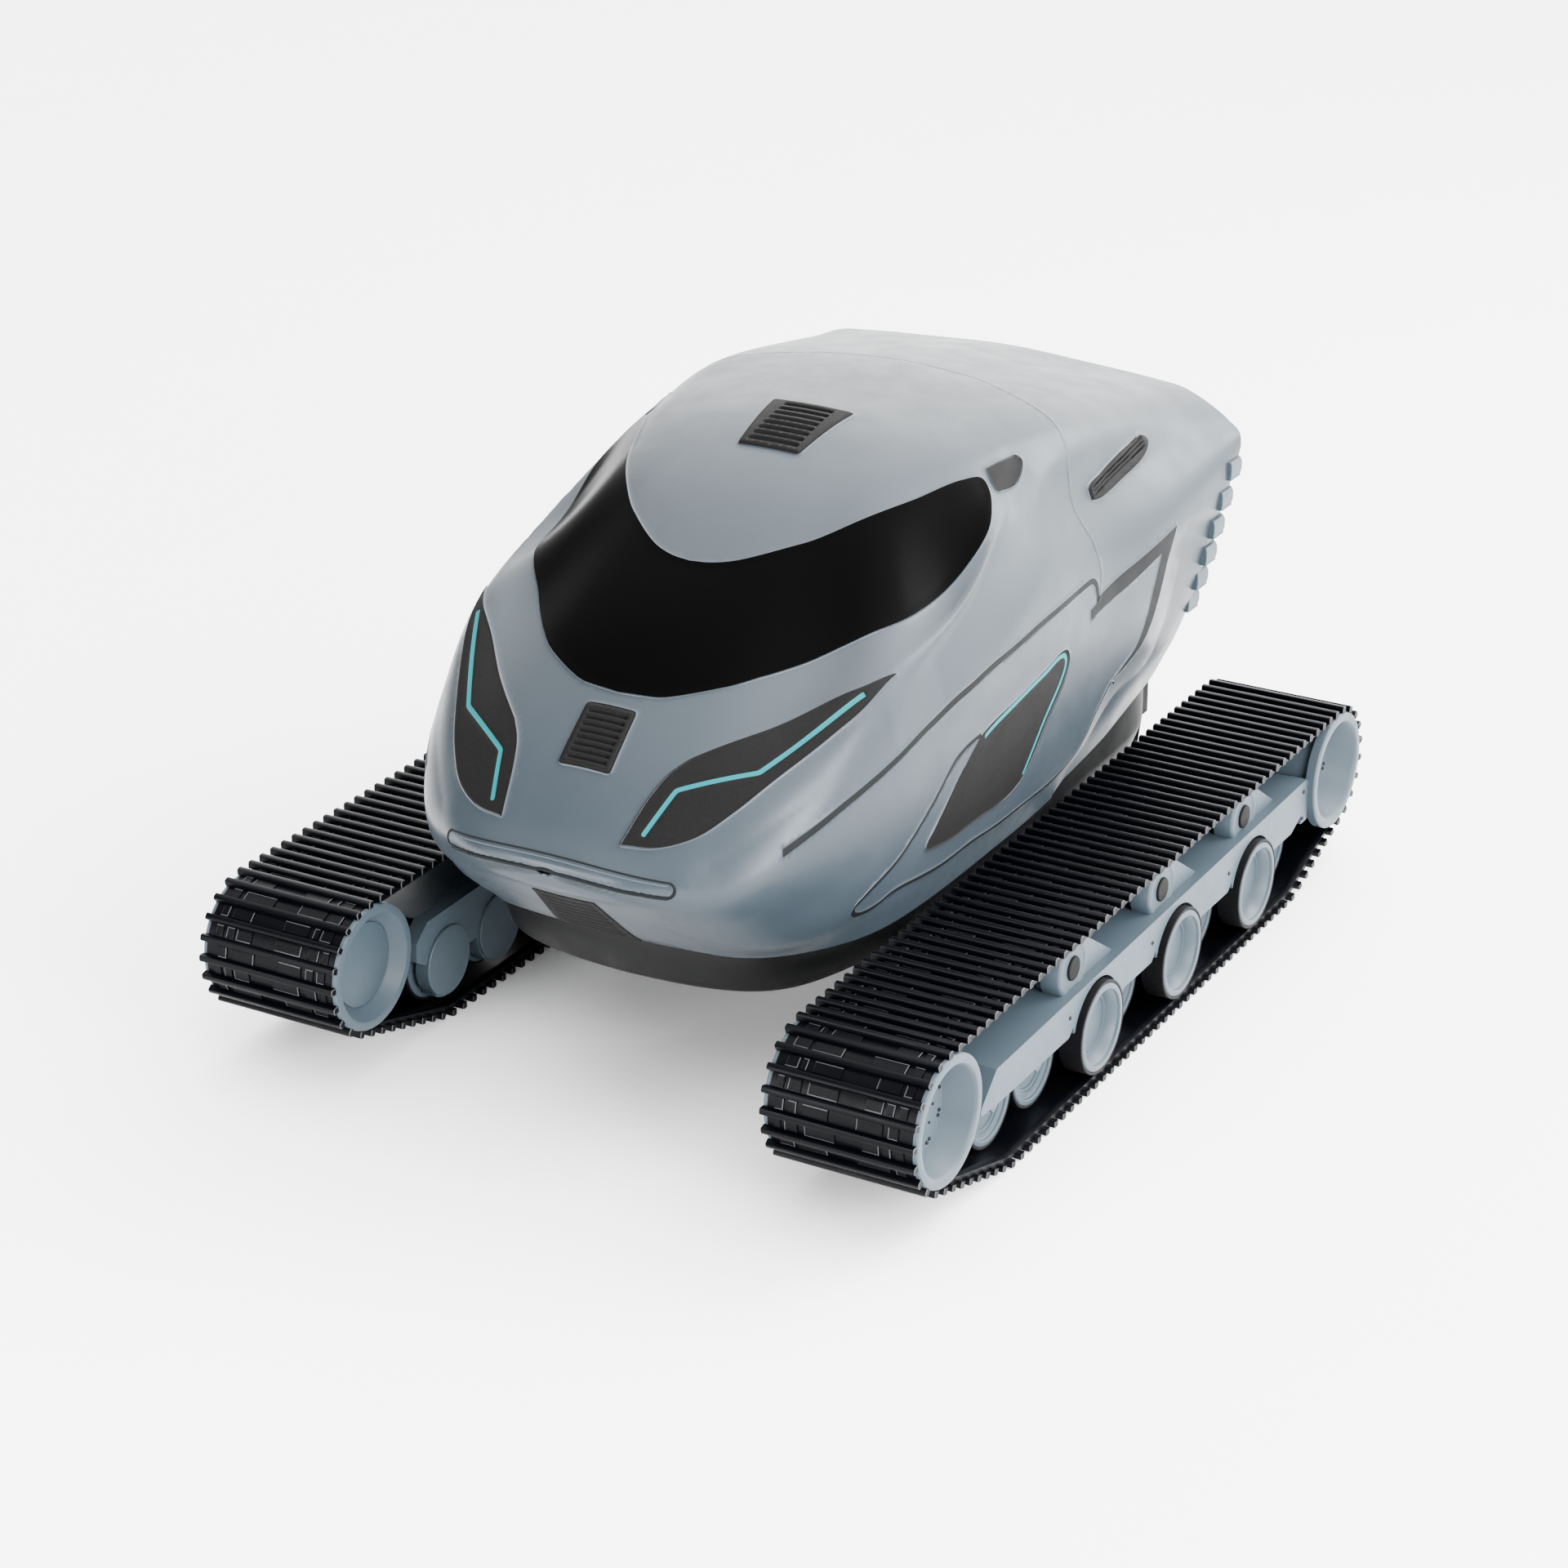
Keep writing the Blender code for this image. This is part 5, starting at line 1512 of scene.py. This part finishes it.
# Each piece of the skin, with its look and its slot. The first ones lie on the centre line.
CENTRE_SKINS = {
    "visor": ("visor", "visor_gloss"),
    "nose_grille": ("dark", "dark_trim"),
    "roof_grille": ("dark", "dark_trim"),
    "front_shell": ("body", "body_satin"),
    "rear_shell": ("body", "body_satin"),
}
SIDE_SKINS = {
    "headlight_strip": ("cyan", "accent_cyan"),
    "headlight": ("dark", "dark_trim"),
    "side_strip": ("cyan", "accent_cyan"),
    "side_panel": ("dark", "dark_trim"),
    "side_line": ("stripe", "dark_trim"),
    "side_stripe": ("stripe", "dark_trim"),
    "wedge": ("stripe", "dark_trim"),
    "shoulder_grille": ("dark", "dark_trim"),
    "sensor_pod": ("dark", "dark_trim"),
}
STRIPE_PARTS = ("side_line", "wedge")
SKIN_THICKNESS = 0.0025


def weld(mesh, gap):
    """Joins the points closer than the gap, and turns the faces one way."""
    work = bmesh.new()
    work.from_mesh(mesh)
    bmesh.ops.remove_doubles(work, verts=work.verts, dist=gap)
    bmesh.ops.recalc_face_normals(work, faces=work.faces)
    work.to_mesh(mesh)
    work.free()


def make_skins(solid, faces, region, chin_points, chin_faces):
    """Cuts the skin into its pieces, each with its own thickness. The chin belongs to the front shell."""

    def part_of(name):
        chosen = faces[region == name]
        used, index = np.unique(chosen, return_inverse=True)
        return solid[used], index.reshape(chosen.shape)

    def make_skin(name, vertices, polygons, look, node, mirrored=False):
        piece = new_object(name, vertices, polygons, LOOKS[look])
        if mirrored:
            if node == "front_shell":
                weld(piece.data, 2e-5)
            mirror = piece.modifiers.new("mirror", "MIRROR")
            mirror.merge_threshold = 1e-6
        sharpen_border(piece.data)
        thick = piece.modifiers.new("thickness", "SOLIDIFY")
        thick.thickness = SKIN_THICKNESS
        thick.offset = -1.0
        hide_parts(node)

    for name, (look, slot) in CENTRE_SKINS.items():
        vertices, polygons = part_of(name)
        if name == "front_shell":
            polygons = np.vstack([polygons, chin_faces + len(vertices)])
            vertices = np.vstack([vertices, chin_points])
        make_skin(name + "_skin", vertices, polygons, look, name, mirrored=True)
    for name, (look, slot) in SIDE_SKINS.items():
        vertices, polygons = part_of(name)
        node = "side_stripe" if name in STRIPE_PARTS else name
        make_skin(f"{name}_skin_right", vertices, polygons, look, node + "_right")
        make_skin(f"{name}_skin_left", vertices * (-1, 1, 1), polygons[:, ::-1], look, node + "_left")


make_camera()
make_world()
make_light("key", (1.6, 1.8, 1.8), (1.6, 1.6), 130)
make_light("side", (2.6, -1.2, 0.9), (1.2, 1.6), 220)
make_light("front", (-0.9, -2.8, 0.7), (1.6, 1.0), 125)
floor_look = finish_material("floor_white", (0.93, 0.93, 0.93), 0.8, vary=0.005)
corners = [(-30, -30, 0), (30, -30, 0), (30, 30, 0), (-30, 30, 0)]
floor = new_object("floor", corners, [(0, 1, 2, 3)], floor_look)

solid, faces, region = make_body()
chin_points, chin_faces = chin_patch()
make_skins(solid, faces, region, chin_points, chin_faces)
all_points = np.vstack([solid, chin_points])
all_faces = np.vstack([faces, chin_faces + len(solid)])
make_light_bar(BVHTree.FromPolygons(all_points.tolist(), all_faces.tolist()))
make_chin_louvres()
make_pan()
make_rear()
for side, tag in ((1, "right"), (-1, "left")):
    make_belt(side, tag)
    make_side_frame(side, tag)
    for stem in ("idler", "drive"):
        make_end_wheel(side, tag, stem)
    for number in (1, 2, 3):
        make_road_wheel(side, tag, "outer", number)
        make_roller(side, tag, number)
    for number in (1, 2, 3, 4, 5):
        make_road_wheel(side, tag, "inner", number)

KEPT = {"motor": "metal", "board": "board", "pan": "pan", "cross": "pan"}
for name, obj in frame["nodes"].items():
    found = next((v for k, v in KEPT.items() if k in name), "dark")
    obj.data.materials.clear()
    obj.data.materials.append(LOOKS[found])
